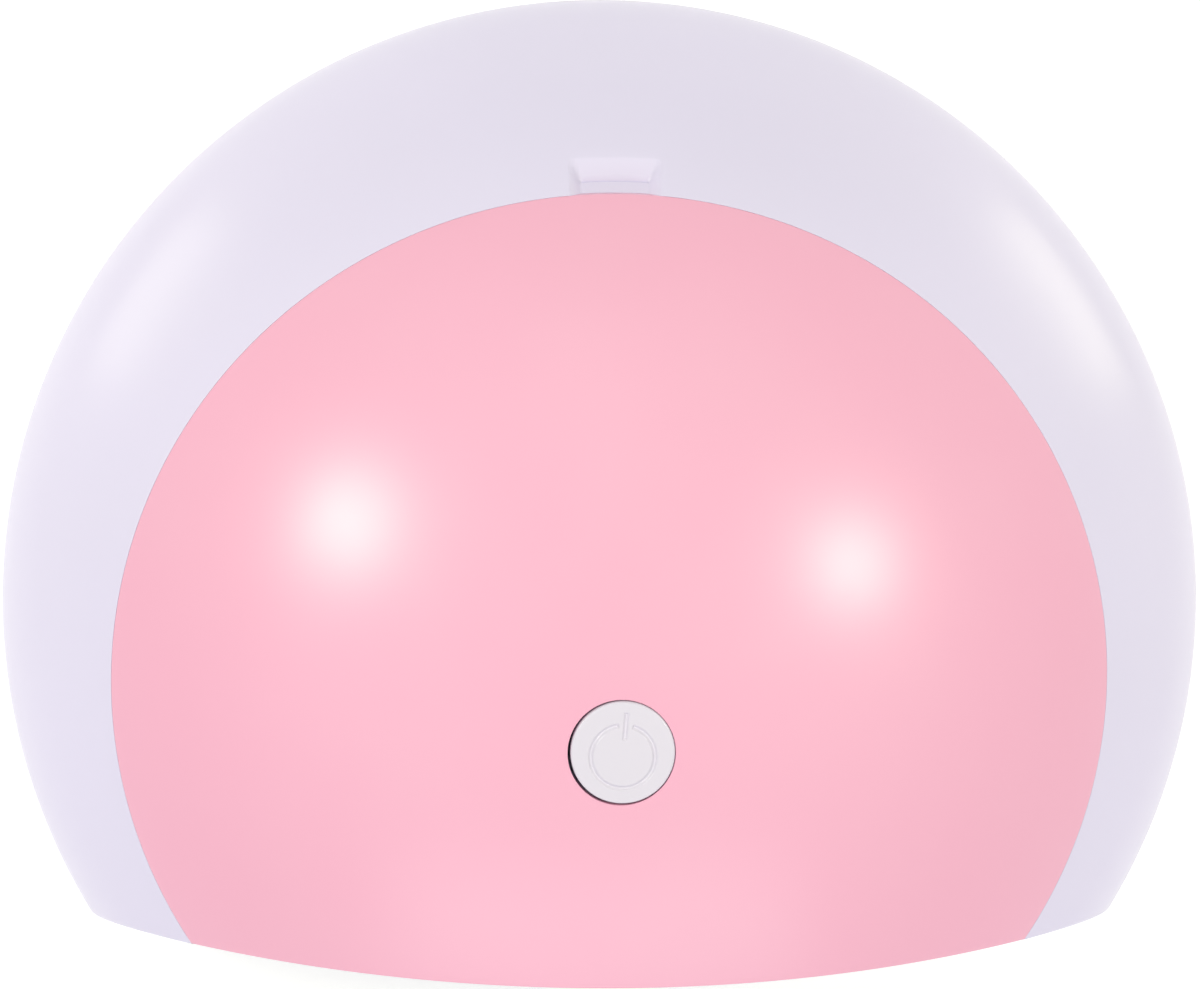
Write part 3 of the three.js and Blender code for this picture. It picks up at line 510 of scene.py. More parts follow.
@dataclass
class DomeForm:
    """The dome's surface and the places on it, shared by every piece of the lamp.

    Seen in section it is three arcs: the crown, a ball of crown_radius, the shoulder, and the
    skirt that draws in below the widest ring. The button's axis leans forward about the
    crown's centre, and the faceplate's seam is an oval round it.
    """

    shell_radius: float = 0.0775
    waist_height: float = 0.015
    shoulder_radius: float = 0.020
    skirt_radius: float = 0.030
    front_bow: float = 0.318
    band_width: float = 0.015
    plate_flattening: float = 0.0012
    plate_centre: float = 0.0038
    button_set_forward: float = 0.018
    fit: float = 0.0003
    shell_wall: float = 0.002
    plate_thickness: float = 0.0016
    seat_wall: float = 0.0018

    def __post_init__(self) -> None:
        """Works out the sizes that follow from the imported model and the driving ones."""
        self.front_reach = -2.0 * corner("main_housing", 0)[1] - self.shell_radius
        self.axis_y = -(self.shell_radius - self.front_reach) / 2.0
        self.bow_centre = self.front_bow - self.front_reach
        self.crown_top = corner("faceplate", 1)[2]
        self.foot = corner("main_housing", 0)[2]
        across = self.shell_radius - self.shoulder_radius
        lift = self.crown_top - self.waist_height
        shoulder = self.shoulder_radius
        self.crown_radius = (across**2 + lift**2 - shoulder**2) / (2 * (lift - shoulder))
        self.crown_centre = self.crown_top - self.crown_radius
        self.crown_angle = math.asin(across / (self.crown_radius - self.shoulder_radius))
        self.shoulder_start = self.crown_radius * self.crown_angle
        self.skirt_start = self.shoulder_start + self.shoulder_radius * (QUARTER_TURN - self.crown_angle)
        self.lean = math.asin(self.button_set_forward / self.crown_radius)
        self.plate_half_width = self.shell_radius - self.band_width
        self.plate_half_length = self.plate_half_width - self.plate_flattening
        self.seat_depth = self.plate_thickness + self.fit
        self.centre = np.array([0.0, self.axis_y, self.crown_centre])

    def section(self, arc: Array, inset: Array | float = 0.0) -> tuple[Array, Array, Array]:
        """Follows the dome's section from the crown's top down.

        Each arc is its centre plus (radius - inset) times the sine and cosine of the normal's
        tilt, and the tilt grows by the length along the arc over the arc's radius.

        Args:
            arc: lengths along the outside, from the crown's top.
            inset: how far inside the outside.

        Returns:
            The radius, the height and the normal's tilt from upright.
        """
        ball, roll, draw = self.crown_radius, self.shoulder_radius, self.skirt_radius
        parts = [arc < self.shoulder_start, arc < self.skirt_start]
        shoulder = self.crown_angle + (arc - self.shoulder_start) / roll
        tilt = np.select(parts, [arc / ball, shoulder], QUARTER_TURN + (arc - self.skirt_start) / draw)
        size = np.select(parts, [ball, roll], draw) - inset
        out = np.select(parts, [0.0, self.shell_radius - roll], self.shell_radius - draw)
        up = np.select(parts, [self.crown_centre, self.waist_height], self.waist_height)
        return out + size * np.sin(tilt), up + size * np.cos(tilt), tilt

    def front_line(self, x: Array, setback: Array | float = 0.0) -> Array:
        """Gives the bowed front edge, y = c - sqrt(B^2 - x^2), set back by a distance."""
        return self.axis_y + self.bow_centre - np.sqrt((self.front_bow - setback) ** 2 - x**2)

    def front_normal(self, points: Array) -> Array:
        """Gives the front face's outward normals: away from the bow's centre, level."""
        away = points - np.array([0.0, self.axis_y + self.bow_centre, 0.0])
        return unit(away * np.array([1.0, 1.0, 0.0]))

    def cut_angle(self, radius: Array, setback: Array | float = 0.0) -> Array:
        """Gives the angle from the X axis at which a ring of the dome meets the front edge."""
        y = (radius**2 - (self.front_bow - setback) ** 2 + self.bow_centre**2) / (2.0 * self.bow_centre)
        return np.arctan2(y, np.sqrt(np.maximum(radius**2 - y**2, 0.0)))

    def ring_point(self, radius: Array, angle: Array, height: Array) -> Array:
        """Puts a radius, an angle and a height about the dome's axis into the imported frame."""
        return stack(radius * np.cos(angle), self.axis_y + radius * np.sin(angle), height)

    def leaned(self, x: Array, y: Array, along: Array) -> Array:
        """Puts places about the button's axis, turned by its lean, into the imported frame.

        Args:
            x: distances to the right of the axis.
            y: distances behind it.
            along: distances along it from the crown's centre.

        Returns:
            Points.
        """
        sine, cosine = math.sin(self.lean), math.cos(self.lean)
        y, z = y * cosine - along * sine, y * sine + along * cosine
        return stack(x, self.axis_y + y, self.crown_centre + z)

    def leaned_way(self, flat: Array) -> Array:
        """Turns a direction beside the button's axis, x and y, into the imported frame."""
        return stack(flat[..., 0], flat[..., 1] * math.cos(self.lean), flat[..., 1] * math.sin(self.lean))

    def beside_button(self, points: Array) -> Array:
        """Gives the distances beside the button's axis, x and y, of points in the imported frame."""
        x, y, z = np.moveaxis(points - self.centre, -1, 0)
        return np.stack([x, y * math.cos(self.lean) + z * math.sin(self.lean)], axis=-1)

    def on_crown(self, flat: Array, depth: Array | float = 0.0) -> Array:
        """Lifts distances beside the button's axis onto the crown's ball, or to a depth inside it."""
        x, y = flat[..., 0], flat[..., 1]
        return self.leaned(x, y, np.sqrt((self.crown_radius - depth) ** 2 - x**2 - y**2))

    def crown_normal(self, points: Array) -> Array:
        """Gives the crown's outward normals: away from its centre."""
        return unit(points - self.centre)

    def seam(self, angle: Array, margin: float) -> Array:
        """Gives the seam's oval beside the button's axis: (a cos t, c + b sin t), with a margin."""
        width, length = self.plate_half_width + margin, self.plate_half_length + margin
        return np.stack([width * np.cos(angle), self.plate_centre + length * np.sin(angle)], axis=-1)

    def seam_normal(self, angle: Array, margin: float) -> Array:
        """Gives the oval's outward normals beside the button's axis."""
        width, length = self.plate_half_width + margin, self.plate_half_length + margin
        return unit(np.stack([np.cos(angle) / width, np.sin(angle) / length], axis=-1))

    def seam_corner(self, margin: float, setback: float, depth: float = 0.0) -> float:
        """Finds where the seam meets the front edge on the right, between close samples.

        Args:
            margin: outside the faceplate's own edge.
            setback: behind the front edge.
            depth: below the crown.

        Returns:
            The seam's angle there.
        """
        angle = np.linspace(-QUARTER_TURN, 0.0, 4001)
        points = self.on_crown(self.seam(angle, margin), depth)
        behind = points[:, 1] - self.front_line(points[:, 0], setback)
        last = np.flatnonzero(behind < 0.0).max()
        share = behind[last] / (behind[last] - behind[last + 1])
        return float(angle[last] + share * (angle[last + 1] - angle[last]))

    def front_on_crown(self, x: Array, setback: float, depth: float) -> Array:
        """Gives the front edge's points on the crown: z0 + sqrt((R - depth)^2 - x^2 - (y - y0)^2).

        Args:
            x: places across.
            setback: behind the front edge.
            depth: below the crown.

        Returns:
            Points.
        """
        y = self.front_line(x, setback)
        across = x**2 + (y - self.axis_y) ** 2
        return stack(x, y, self.crown_centre + np.sqrt((self.crown_radius - depth) ** 2 - across))

    def peg_places(self) -> Array:
        """Gives the faceplate's four pegs beside the button's axis, as shares of its half width."""
        return np.array([[-0.62, 0.55], [0.62, 0.55], [-0.81, -0.23], [0.81, -0.23]]) * self.plate_half_width


@dataclass
class HandOpening:
    """The arch of the hand opening: straight legs, then |x/a|^n + |z/b|^n = 1 over them."""

    form: DomeForm
    side_space: float = 0.0225
    top: float = 0.035
    spring: float = 0.0062
    squareness: float = 3.0

    def __post_init__(self) -> None:
        """Works out the opening's half width."""
        self.half_width = self.form.shell_radius - self.side_space

    def curve(self, angle: Array, outset: float = 0.0) -> tuple[Array, Array]:
        """Gives the half arch over its springing: x = a cos^(2/n) t, z = z0 + b sin^(2/n) t.

        Args:
            angle: from 0 at the springing to a quarter turn at the top.
            outset: how far outside the opening.

        Returns:
            Half widths and heights.
        """
        power = 2.0 / self.squareness
        across = (self.half_width + outset) * np.clip(np.cos(angle), 0.0, 1.0) ** power
        return across, self.spring + (self.top - self.spring + outset) * np.sin(angle) ** power

    def by_ray(self, angle: Array) -> tuple[Array, Array]:
        """Looks up the arch along rays from the middle of its foot, in a close table of its points.

        Args:
            angle: the rays' angles from the X axis, 0 to a half turn.

        Returns:
            Points and outward directions, both as x and z.
        """
        close = np.linspace(0.0, 1.0, 1200) ** 2
        turn = np.unique(np.concatenate([close[:-1] * QUARTER_TURN, (QUARTER_TURN - close[::-1] * 0.5)[1:]]))
        x, z = self.curve(turn)
        leg = np.linspace(self.form.foot, self.spring, 30)[:-1]
        x = np.concatenate([np.full(leg.shape, self.half_width), x])
        z = np.concatenate([leg, z])
        ray = np.arctan2(z - self.form.foot, x)
        side = np.where(angle > QUARTER_TURN, -1.0, 1.0)
        folded = np.where(angle > QUARTER_TURN, HALF_TURN - angle, angle)
        place = np.stack([np.interp(folded, ray, x) * side, np.interp(folded, ray, z)], axis=-1)
        across, up = np.interp(folded, ray, np.gradient(z)), -np.interp(folded, ray, np.gradient(x))
        return place, unit(np.stack([across * side, up], axis=-1))


@dataclass(frozen=True)
class Layer:
    """Where one face of the housing's wall runs. The inside face keeps its edges all but sharp."""

    band_inset: float
    seat_depth: float
    seam_margin: float
    setback: float
    notch_floor: float
    lip_round: float = 0.00004
    front_round: float = 0.00004
    seat_round: float = 0.00004
    arch_round: float = 0.00004
    foot_round: float = 0.00004


@dataclass
class Housing:
    """The white shell: its band, the seat under the faceplate, the front wall and the notch.

    One sheet of quads runs from the button's hole over the seat, up the step and its lip, down
    the band to the foot, and round the front edge to the arch. It is worked out twice, for the
    outside and the inside of the wall, and closed along its free edges.
    """

    form: DomeForm
    opening: HandOpening
    button_hole: float = 0.00655
    peg_hole: float = 0.00175
    peg_margin: float = 0.0031
    window_half_width: float = 0.0063
    window_half_height: float = 0.0036
    window_rounding: float = 0.0016
    window_height: float = 0.0108
    window_margin: tuple[float, float] = (0.0077, 0.0048)
    notch_half_width: float = 0.0057
    notch_floor_half_width: float = 0.0043
    notch_length: float = 0.0054
    notch_floor_length: float = 0.0028
    notch_outer_share: float = 0.75
    notch_inner_share: float = 0.97
    crease: float = 0.00015
    crease_rows: tuple[int, ...] = (4, 1, 1, 4, 1)
    seam_gap: float = 0.00001
    groove: float = 0.00025
    strip_rise: float = 0.1
    corner_round: float = 0.0002
    fine_reach: float = 0.009
    fine_columns: int = 37
    fine_gap: float = 0.012
    least_apart: float = 0.0002
    round_growth: float = 0.3
    corner_growth: float = 0.006
    seam_columns: int = 210
    front_columns: int = 96
    seat_rows: int = 36
    band_rows: int = 30
    wall_rows: int = 9
    round_steps: int = 4
    first_row: float = 0.002

    def __post_init__(self) -> None:
        """Sets out the two faces of the wall."""
        form = self.form
        depth, wall = form.seat_depth, form.shell_wall
        self.outer = Layer(0.0, depth, self.seam_gap, 0.0, self.notch_outer_share * depth, lip_round=0.00005,
                           front_round=0.0012, seat_round=0.0004, arch_round=0.0007, foot_round=0.0005)
        notch = self.notch_inner_share * depth + wall
        self.inner = Layer(wall, depth + form.seat_wall, form.fit + wall, wall, notch)

    def seam_angles(self, layer: Layer) -> Array:
        """Spreads the columns along the seam, closer at the back, with one on each line of the notch.

        Args:
            layer: the face of the wall.

        Returns:
            Angles on the seam's oval from the right front corner to the left.
        """
        form = self.form
        start = form.seam_corner(self.seam_gap, 0.0)
        edges = np.array([self.notch_floor_half_width, self.notch_half_width])
        marks = np.concatenate([edges - self.crease, edges + self.crease])
        fine = np.linspace(-self.fine_reach, self.fine_reach, self.fine_columns)
        fine = fine[np.abs(np.abs(fine)[:, None] - edges).min(axis=1) > self.least_apart]
        across = np.sort(np.concatenate([fine, marks, -marks]))
        back = np.arccos(across[::-1] / (form.plate_half_width + self.seam_gap))
        even = np.linspace(start, math.pi - start, self.seam_columns)
        even = even[(even < back[0] - self.fine_gap) | (even > back[-1] + self.fine_gap)]
        angles = np.sort(np.concatenate([even, back]))
        own = form.seam_corner(layer.seam_margin, layer.setback, layer.band_inset)
        return own + (angles - start) * (math.pi - 2 * own) / (math.pi - 2 * start)

    def lip(self, layer: Layer, angles: Array) -> tuple[Array, Array]:
        """Rounds the step's top edge along the seam.

        Args:
            layer: the face of the wall.
            angles: the columns' angles on the oval.

        Returns:
            The rounding's points and their normals.
        """
        form = self.form
        edge = form.on_crown(form.seam(angles, layer.seam_margin), layer.band_inset)
        wall = -form.leaned_way(form.seam_normal(angles, layer.seam_margin))
        crown = form.crown_normal(edge)
        share = np.linspace(0.0, 1.0, self.round_steps + 1)[:, None, None]
        points = rounded_edge(edge, wall, crown, layer.lip_round, self.round_steps)
        return points, unit((1.0 - share) * wall + share * crown + 1e-9)

    def band(self, layer: Layer, start: Array) -> tuple[Array, Array, Array, Array]:
        """Runs the band from the lip down to the foot, with a row on each line of the notch.

        A row's length along the section is a share of the way from the lip to the foot. Its
        angle about the axis is the lip's, plus a shift that takes the ends along the front edge.

        Args:
            layer: the face of the wall.
            start: the lip's last row.

        Returns:
            Lengths, angles and insets of the rows below the lip, and each row's setback.
        """
        form = self.form
        x, y, _ = (start - form.centre).T
        first = form.crown_radius * np.arcsin(np.hypot(x, y) / (form.crown_radius - layer.band_inset))
        around = np.unwrap(np.arctan2(y, x))
        lift, draw = quarter(self.round_steps)
        inset = layer.band_inset + layer.foot_round * draw
        drop = form.waist_height - (form.foot + layer.foot_round * lift)
        low = form.skirt_start + form.skirt_radius * np.arcsin(drop / (form.skirt_radius - inset))
        fold, end = self.notch_floor_length, self.notch_length
        crease = self.crease
        marks = np.array([0.0, fold - crease, fold, fold + crease, end - crease, end + crease])
        knots = np.append(marks / (low[0] - first.min()) + self.first_row, 1.0)
        spans = zip(knots[:-1], knots[1:], self.crease_rows + (self.band_rows,))
        share = np.concatenate([np.linspace(*span, endpoint=False) for span in spans] + [knots[-1:]])[:, None]
        arcs = np.concatenate([first + (low[0] - first) * share, np.tile(low[1:, None], (1, len(first)))])
        insets = np.concatenate([np.full(len(share), layer.band_inset), inset[1:]])[:, None]
        setback = layer.setback + insets[:, 0] - layer.band_inset
        cut = form.cut_angle(form.section(arcs[:, 0], insets[:, 0])[0], setback)
        fraction = (around - around[0]) / (around[-1] - around[0])
        return arcs, around + (1.0 - 2.0 * fraction) * (cut - around[0])[:, None], insets, setback

    def notched(self, layer: Layer, points: Array, past: Array) -> Array:
        """Presses the notch in behind the seam.

        Depth grows from none at the notch's edges to its floor at the creases, as the least of
        the two straight slopes. From the crease the floor rises a little to the seam. Every
        point goes towards the crown's centre.

        Args:
            layer: the face of the wall.
            points: points of the lip and the band.
            past: how far past the seam each lies.

        Returns:
            The points, those in the notch moved.
        """
        form, fold = self.form, self.notch_floor_length
        slope = (self.notch_length - past) / (self.notch_length - fold)
        wide = self.notch_half_width
        sides = (wide - np.abs(points[..., 0])) / (wide - self.notch_floor_half_width)
        share = np.clip(np.minimum(slope, sides), 0.0, 1.0) * (points[..., 1] > 0.0)
        away = points - form.centre
        reach = np.linalg.norm(away, axis=-1, keepdims=True)
        in_crease = np.clip(1.0 - np.abs(past - fold) / self.crease, 0.0, 1.0) * (sides > 1.0)
        rise = self.strip_rise * np.clip(1.0 - past / fold, 0.0, 1.0)
        floor = form.crown_radius - (layer.notch_floor * (1.0 - rise) + self.groove * in_crease)[..., None]
        return form.centre + away / reach * (reach + (floor - reach) * share[..., None])

    def front_edge(self, layer: Layer, band: tuple[Array, Array, Array, Array], lip: tuple[Array, Array],
                   step: Array) -> tuple[Array, Array, Array, Array]:
        """Gathers the sharp line where the band, the step and the seat end at the front wall.

        Args:
            layer: the face of the wall.
            band: the band's lengths, angles, insets and setbacks.
            lip: the lip's points and normals.
            step: the seat's edge below the lip.

        Returns:
            Points from the right foot over to the left foot, the normals of the surface that
            ends there, the rounding's radius, and the setback of the front face.
        """
        form, small = self.form, self.corner_round
        arcs, _, insets, setback = band
        arcs = arcs[:, 0]
        radius, height, tilt = form.section(arcs, insets[:, 0])
        turn = form.cut_angle(radius, setback)
        side_normal = stack(np.sin(tilt) * np.cos(turn), np.sin(tilt) * np.sin(turn), np.cos(tilt))
        climb = smoothstep(0.0, self.round_growth, (arcs - arcs[0]) / (arcs[-1] - arcs[0]))
        low = np.concatenate([lip[0][::-1, 0], step[:1]])
        low_normal = np.concatenate([lip[1][::-1, 0], unit(lip[1][:1, 0] + form.crown_normal(step[:1]))])
        low[:, 1] = form.front_line(low[:, 0], layer.setback)
        points = np.concatenate([form.ring_point(radius, turn, height)[::-1], low])
        normals = np.concatenate([side_normal[::-1], low_normal])
        growing = small + (layer.front_round - small) * climb
        rounds = np.concatenate([growing[::-1], np.full(len(low), small)])
        setbacks = np.concatenate([setback[::-1], np.full(len(low), layer.setback)])
        x = np.linspace(low[-1, 0], -low[-1, 0], self.front_columns + 1)[1:-1]
        front = form.front_on_crown(x, layer.setback, layer.seat_depth)
        climb = smoothstep(0.0, self.corner_growth, x[0] - np.abs(x))
        front_rounds = small + (layer.seat_round - small) * climb
        rounds = np.concatenate([rounds, front_rounds, rounds[::-1]])
        return (np.concatenate([points, front, points[::-1] * MIRROR]),
                np.concatenate([normals, form.crown_normal(front), normals[::-1] * MIRROR]),
                np.minimum(rounds, max(layer.front_round, layer.seat_round)),
                np.concatenate([setbacks, np.full(len(x), layer.setback), setbacks[::-1]]))

    def wall(self, layer: Layer, start: Array, setback: Array) -> Array:
        """Fills the front wall from the rounded front edge in to the arch and rounds the arch's edge.

        A point is on the straight line, seen from the front, between the edge and the arch's
        point on the same ray, and is put back onto the bowed front face.

        Args:
            layer: the face of the wall.
            start: the front edge's last row.
            setback: the front face's setback at each column.

        Returns:
            Rows of points from the edge to the arch.
        """
        ray = np.arctan2(start[:, 2] - self.form.foot, start[:, 0])
        place, way = self.opening.by_ray(np.clip(ray, 0.0, math.pi))
        share = np.linspace(0.0, 1.0, self.wall_rows + 1)[1:, None, None]
        flat = start[:, [0, 2]] * (1.0 - share) + (place + way * layer.arch_round) * share
        lift, draw = (part[1:, None] for part in quarter(self.round_steps))
        flat = np.concatenate([flat, place + way * layer.arch_round * lift[..., None]])
        deep = np.concatenate([np.zeros((self.wall_rows, 1)), layer.arch_round * draw])
        y = self.form.front_line(flat[..., 0], layer.setback) + deep + (setback - layer.setback)
        return stack(flat[..., 0], y, flat[..., 1])

    def seat(self, layer: Layer, edge: Array) -> Array:
        """Fills the seat from the button's hole out to its edge, on a ball inside the crown.

        Beside the button's axis a point is on the straight line from the hole's rim to the
        seat's edge in the same direction.

        Args:
            layer: the face of the wall.
            edge: the seat's edge, all round.

        Returns:
            Rows of points from the hole outwards, the edge itself last.
        """
        outside = self.form.beside_button(edge)
        share = np.linspace(0.0, 1.0, self.seat_rows + 1)[:-1, None, None]
        flat = unit(outside) * self.button_hole * (1.0 - share) + outside * share
        return np.concatenate([self.form.on_crown(flat, layer.seat_depth), edge[None]])

    def on_skirt(self, layer: Layer, flat: Array) -> Array:
        """Puts x and z onto the skirt at the back: y0 + sqrt(r^2 - x^2), r its radius at the height.

        Args:
            layer: the face of the wall.
            flat: places as x and z.

        Returns:
            Points.
        """
        form = self.form
        drop = form.waist_height - flat[:, 1]
        reach = np.sqrt((form.skirt_radius - layer.band_inset) ** 2 - drop**2)
        radius = form.shell_radius - form.skirt_radius + reach
        return stack(flat[:, 0], form.axis_y + np.sqrt(radius**2 - flat[:, 0] ** 2), flat[:, 1])

    def grids(self, layer: Layer) -> tuple[Array, Array, Array]:
        """Works out every point of one face of the wall.

        Args:
            layer: the face of the wall.

        Returns:
            The seat, the lip with the band, and the front wall, as grids of points.
        """
        form = self.form
        angles = self.seam_angles(layer)
        lip = self.lip(layer, angles)
        step = form.on_crown(form.seam(angles, layer.seam_margin), layer.seat_depth)
        band = self.band(layer, lip[0][-1])
        arcs, around, insets, _ = band
        radius, height, _ = form.section(arcs, insets)
        points, normals, rounds, setbacks = self.front_edge(layer, band, lip, step)
        curl = rounded_edge(points, normals, form.front_normal(points), rounds, self.round_steps)
        past = np.concatenate([np.zeros((len(lip[0]), arcs.shape[1])), arcs - arcs[0]])
        upper = self.notched(layer, np.concatenate([lip[0], form.ring_point(radius, around, height)]), past)
        count = len(upper)
        upper[:, 0], upper[:, -1] = curl[0, :count][::-1], curl[0, -count:]
        step[0], step[-1] = curl[0, count], curl[0, -count - 1]
        front = curl[0, count + 1 : -count - 1][::-1]
        wall = np.concatenate([curl[1:], self.wall(layer, curl[-1], setbacks)])
        return self.seat(layer, np.concatenate([step, front])), upper, wall

    def face(self, layer: Layer, guide: tuple[Array, Array, Array]) -> tuple[Array, Array]:
        """Joins one face's grids and lets the pegs' holes and the plug's window into it.

        Args:
            layer: the face of the wall.
            guide: the outer face's grids, which say what cells the holes take out.

        Returns:
            The face's points and quads.
        """
        form = self.form
        mesh = Mesh()
        seat, upper, wall = (mesh.add_points(grid) for grid in self.grids(layer))
        columns = upper.shape[1]
        upper = np.concatenate([seat[-1:, :columns], upper])
        first = np.concatenate([upper[:0:-1, 0], seat[-1, :1], seat[-1, : columns - 1 : -1], upper[:, -1]])
        pegs = [round_hole(place, self.peg_hole, self.peg_margin) for place in form.peg_places()]
        pierce(mesh, wrapped(seat), form.beside_button(wrapped(guide[0])), pegs,
               lambda spots: form.on_crown(spots, layer.seat_depth))
        size = (self.window_half_width, self.window_half_height, self.window_rounding)
        window = Hole(np.array([0.0, self.window_height]), lambda angle: slot_reach(angle, *size),
                      np.array(self.window_margin))
        flat = np.concatenate([guide[0][-1:, :columns], guide[1]])[..., [0, 2]]
        pierce(mesh, upper, flat, [window], lambda spots: self.on_skirt(layer, spots))
        mesh.flipped().add_grid(np.concatenate([first[None], wall]))
        return mesh.arrays()

    def build(self, finishes: "Finishes") -> None:
        """Makes the housing piece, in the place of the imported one."""
        guide = self.grids(self.outer)
        outer, quads = self.face(self.outer, guide)
        inner, _ = self.face(self.inner, guide)
        shell = thickened(outer, inner, quads)
        make_piece("housing_shell", shell, finishes.shell, Body.LAMP, "main_housing", sharp=42.0)


class Net:
    """Short calls that add and join the nodes of one shader tree."""

    def __init__(self, tree: Tree) -> None:
        """Takes the tree to work in."""
        self.tree = tree

    def feed(self, node: Node, inputs: dict[str | int, object]) -> None:
        """Feeds a node's inputs.

        Args:
            node: the node.
            inputs: input names or numbers to values, or to output sockets to link from.
        """
        for name, value in inputs.items():
            if isinstance(value, Socket):
                self.tree.links.new(value, node.inputs[name])
            else:
                node.inputs[name].default_value = value

    def add(self, kind: str, inputs: dict[str | int, object] | None = None, **settings: object) -> Node:
        """Adds a node.

        Args:
            kind: the node's type name, after ShaderNode.
            inputs: what feeds its inputs.
            settings: the node's own properties.

        Returns:
            The node.
        """
        node = self.tree.nodes.new("ShaderNode" + kind)
        for name, value in settings.items():
            setattr(node, name, value)
        self.feed(node, inputs or {})
        return node

    def math(self, operation: str, first: object, second: object, third: object = 0.0) -> Socket:
        """Adds a Math node and gives its output."""
        return self.add("Math", {0: first, 1: second, 2: third}, operation=operation).outputs[0]

    def ramp(self, value: Socket, low: float, high: float) -> Socket:
        """Spreads a value's span from low to high over 0 to 1, with level ends."""
        return self.add("MapRange", {0: value, 1: low, 2: high}, interpolation_type="SMOOTHSTEP").outputs[0]

    def noise(self, place: Socket, scale: object, detail: float) -> Socket:
        """Adds a noise pattern and gives its height."""
        return self.add("TexNoise", {"Vector": place, "Scale": scale, "Detail": detail}).outputs[0]

    def mix(self, share: object, first: object, second: object) -> Socket:
        """Mixes two colours by a share and gives the result."""
        return self.add("Mix", {0: share, 6: first, 7: second}, data_type="RGBA").outputs[2]

    def facing_up(self, low: float, high: float) -> Socket:
        """Gives how far the surface faces up, over a span of its normal's height."""
        normal = self.add("NewGeometry").outputs["Normal"]
        return self.ramp(self.add("SeparateXYZ", {0: normal}).outputs["Z"], low, high)

    def group(self, tree: Tree, place: Socket, **inputs: object) -> Socket:
        """Places a shared group over the object's own coordinates and gives its output."""
        return self.add("Group", {"Place": place, **inputs}, node_tree=tree).outputs[0]


def moulded_grain(net: Net, place: Socket, size: Socket) -> Socket:
    """Adds the fine grain that a spark-eroded mould leaves: noise + 0.45 times round pits' depth.

    Args:
        net: the group's nodes.
        place: the object's own coordinates.
        size: the grain's size.

    Returns:
        Its height.
    """
    scale = net.math("DIVIDE", 1.0, size)
    pits = net.add("TexVoronoi", {"Vector": place, "Scale": scale}).outputs["Distance"]
    return net.math("MULTIPLY_ADD", pits, 0.45, net.noise(place, scale, 1.0))


def handled_surface(net: Net, place: Socket, roughness: Socket, spread: Socket) -> Socket:
    """Adds the uneven gloss of handling: roughness + spread (soft patches + half the smears - 0.75).

    Args:
        net: the group's nodes.
        place: the object's own coordinates.
        roughness: the middle roughness.
        spread: how far it varies.

    Returns:
        The roughness.
    """
    stretched = net.add("Mapping", {"Vector": place, "Scale": (220.0, 90.0, 140.0)}).outputs[0]
    both = net.math("MULTIPLY_ADD", net.noise(stretched, 1.0, 4.0), 0.5, net.noise(place, 38.0, 2.0))
    return net.math("MULTIPLY_ADD", net.math("SUBTRACT", both, 0.75), spread, roughness)


def hair_scratches(net: Net, place: Socket, spacing: Socket, turn: Socket) -> Socket:
    """Adds a few hair scratches: a bent wave's thin crossings, in small patches that face up.

    Args:
        net: the group's nodes.
        place: the object's own coordinates.
        spacing: between the waves.
        turn: the waves' angle.

    Returns:
        Where the scratches are.
    """
    turned = net.add("VectorRotate", {"Vector": place, "Angle": turn}, rotation_type="Z_AXIS").outputs[0]
    bend = net.add("TexNoise", {"Vector": turned, "Scale": 30.0, "Detail": 0.0}).outputs["Color"]
    bent = net.add("Mix", {0: 0.003, 4: turned, 5: bend}, data_type="VECTOR").outputs[1]
    scale = net.math("DIVIDE", 1.0, spacing)
    wave = net.add("TexWave", {"Vector": bent, "Scale": scale}, wave_profile="SAW").outputs["Fac"]
    patch = net.ramp(net.noise(place, 55.0, 1.0), 0.66, 0.7)
    there = net.math("MULTIPLY", patch, net.facing_up(0.6, 0.8))
    return net.math("MULTIPLY", net.ramp(wave, 0.994, 0.999), there)


def settled_dust(net: Net, place: Socket, amount: Socket) -> Socket:
    """Adds specks and a faint veil of dust on what faces up.

    Args:
        net: the group's nodes.
        place: the object's own coordinates.
        amount: how much dust.

    Returns:
        How dusty each place is.
    """
    veil = net.ramp(net.noise(place, 60.0, 1.0), 0.3, 0.9)
    cells = net.add("TexVoronoi", {"Vector": place, "Scale": 420.0}).outputs["Distance"]
    specks = net.math("SUBTRACT", 1.0, net.ramp(cells, 0.03, 0.07))
    both = net.math("MULTIPLY_ADD", specks, 0.6, net.math("MULTIPLY", veil, 0.5))
    return net.math("MULTIPLY", net.math("MULTIPLY", both, net.facing_up(0.35, 1.0)), amount)


def tinted_colour(net: Net, place: Socket, light: Socket, deep: Socket, size: Socket) -> Socket:
    """Adds a colour that drifts slightly over the surface, as pigment in a moulding does."""
    drift = net.noise(place, net.math("DIVIDE", 1.0, size), 1.0)
    return net.mix(net.ramp(drift, 0.15, 0.85), light, deep)


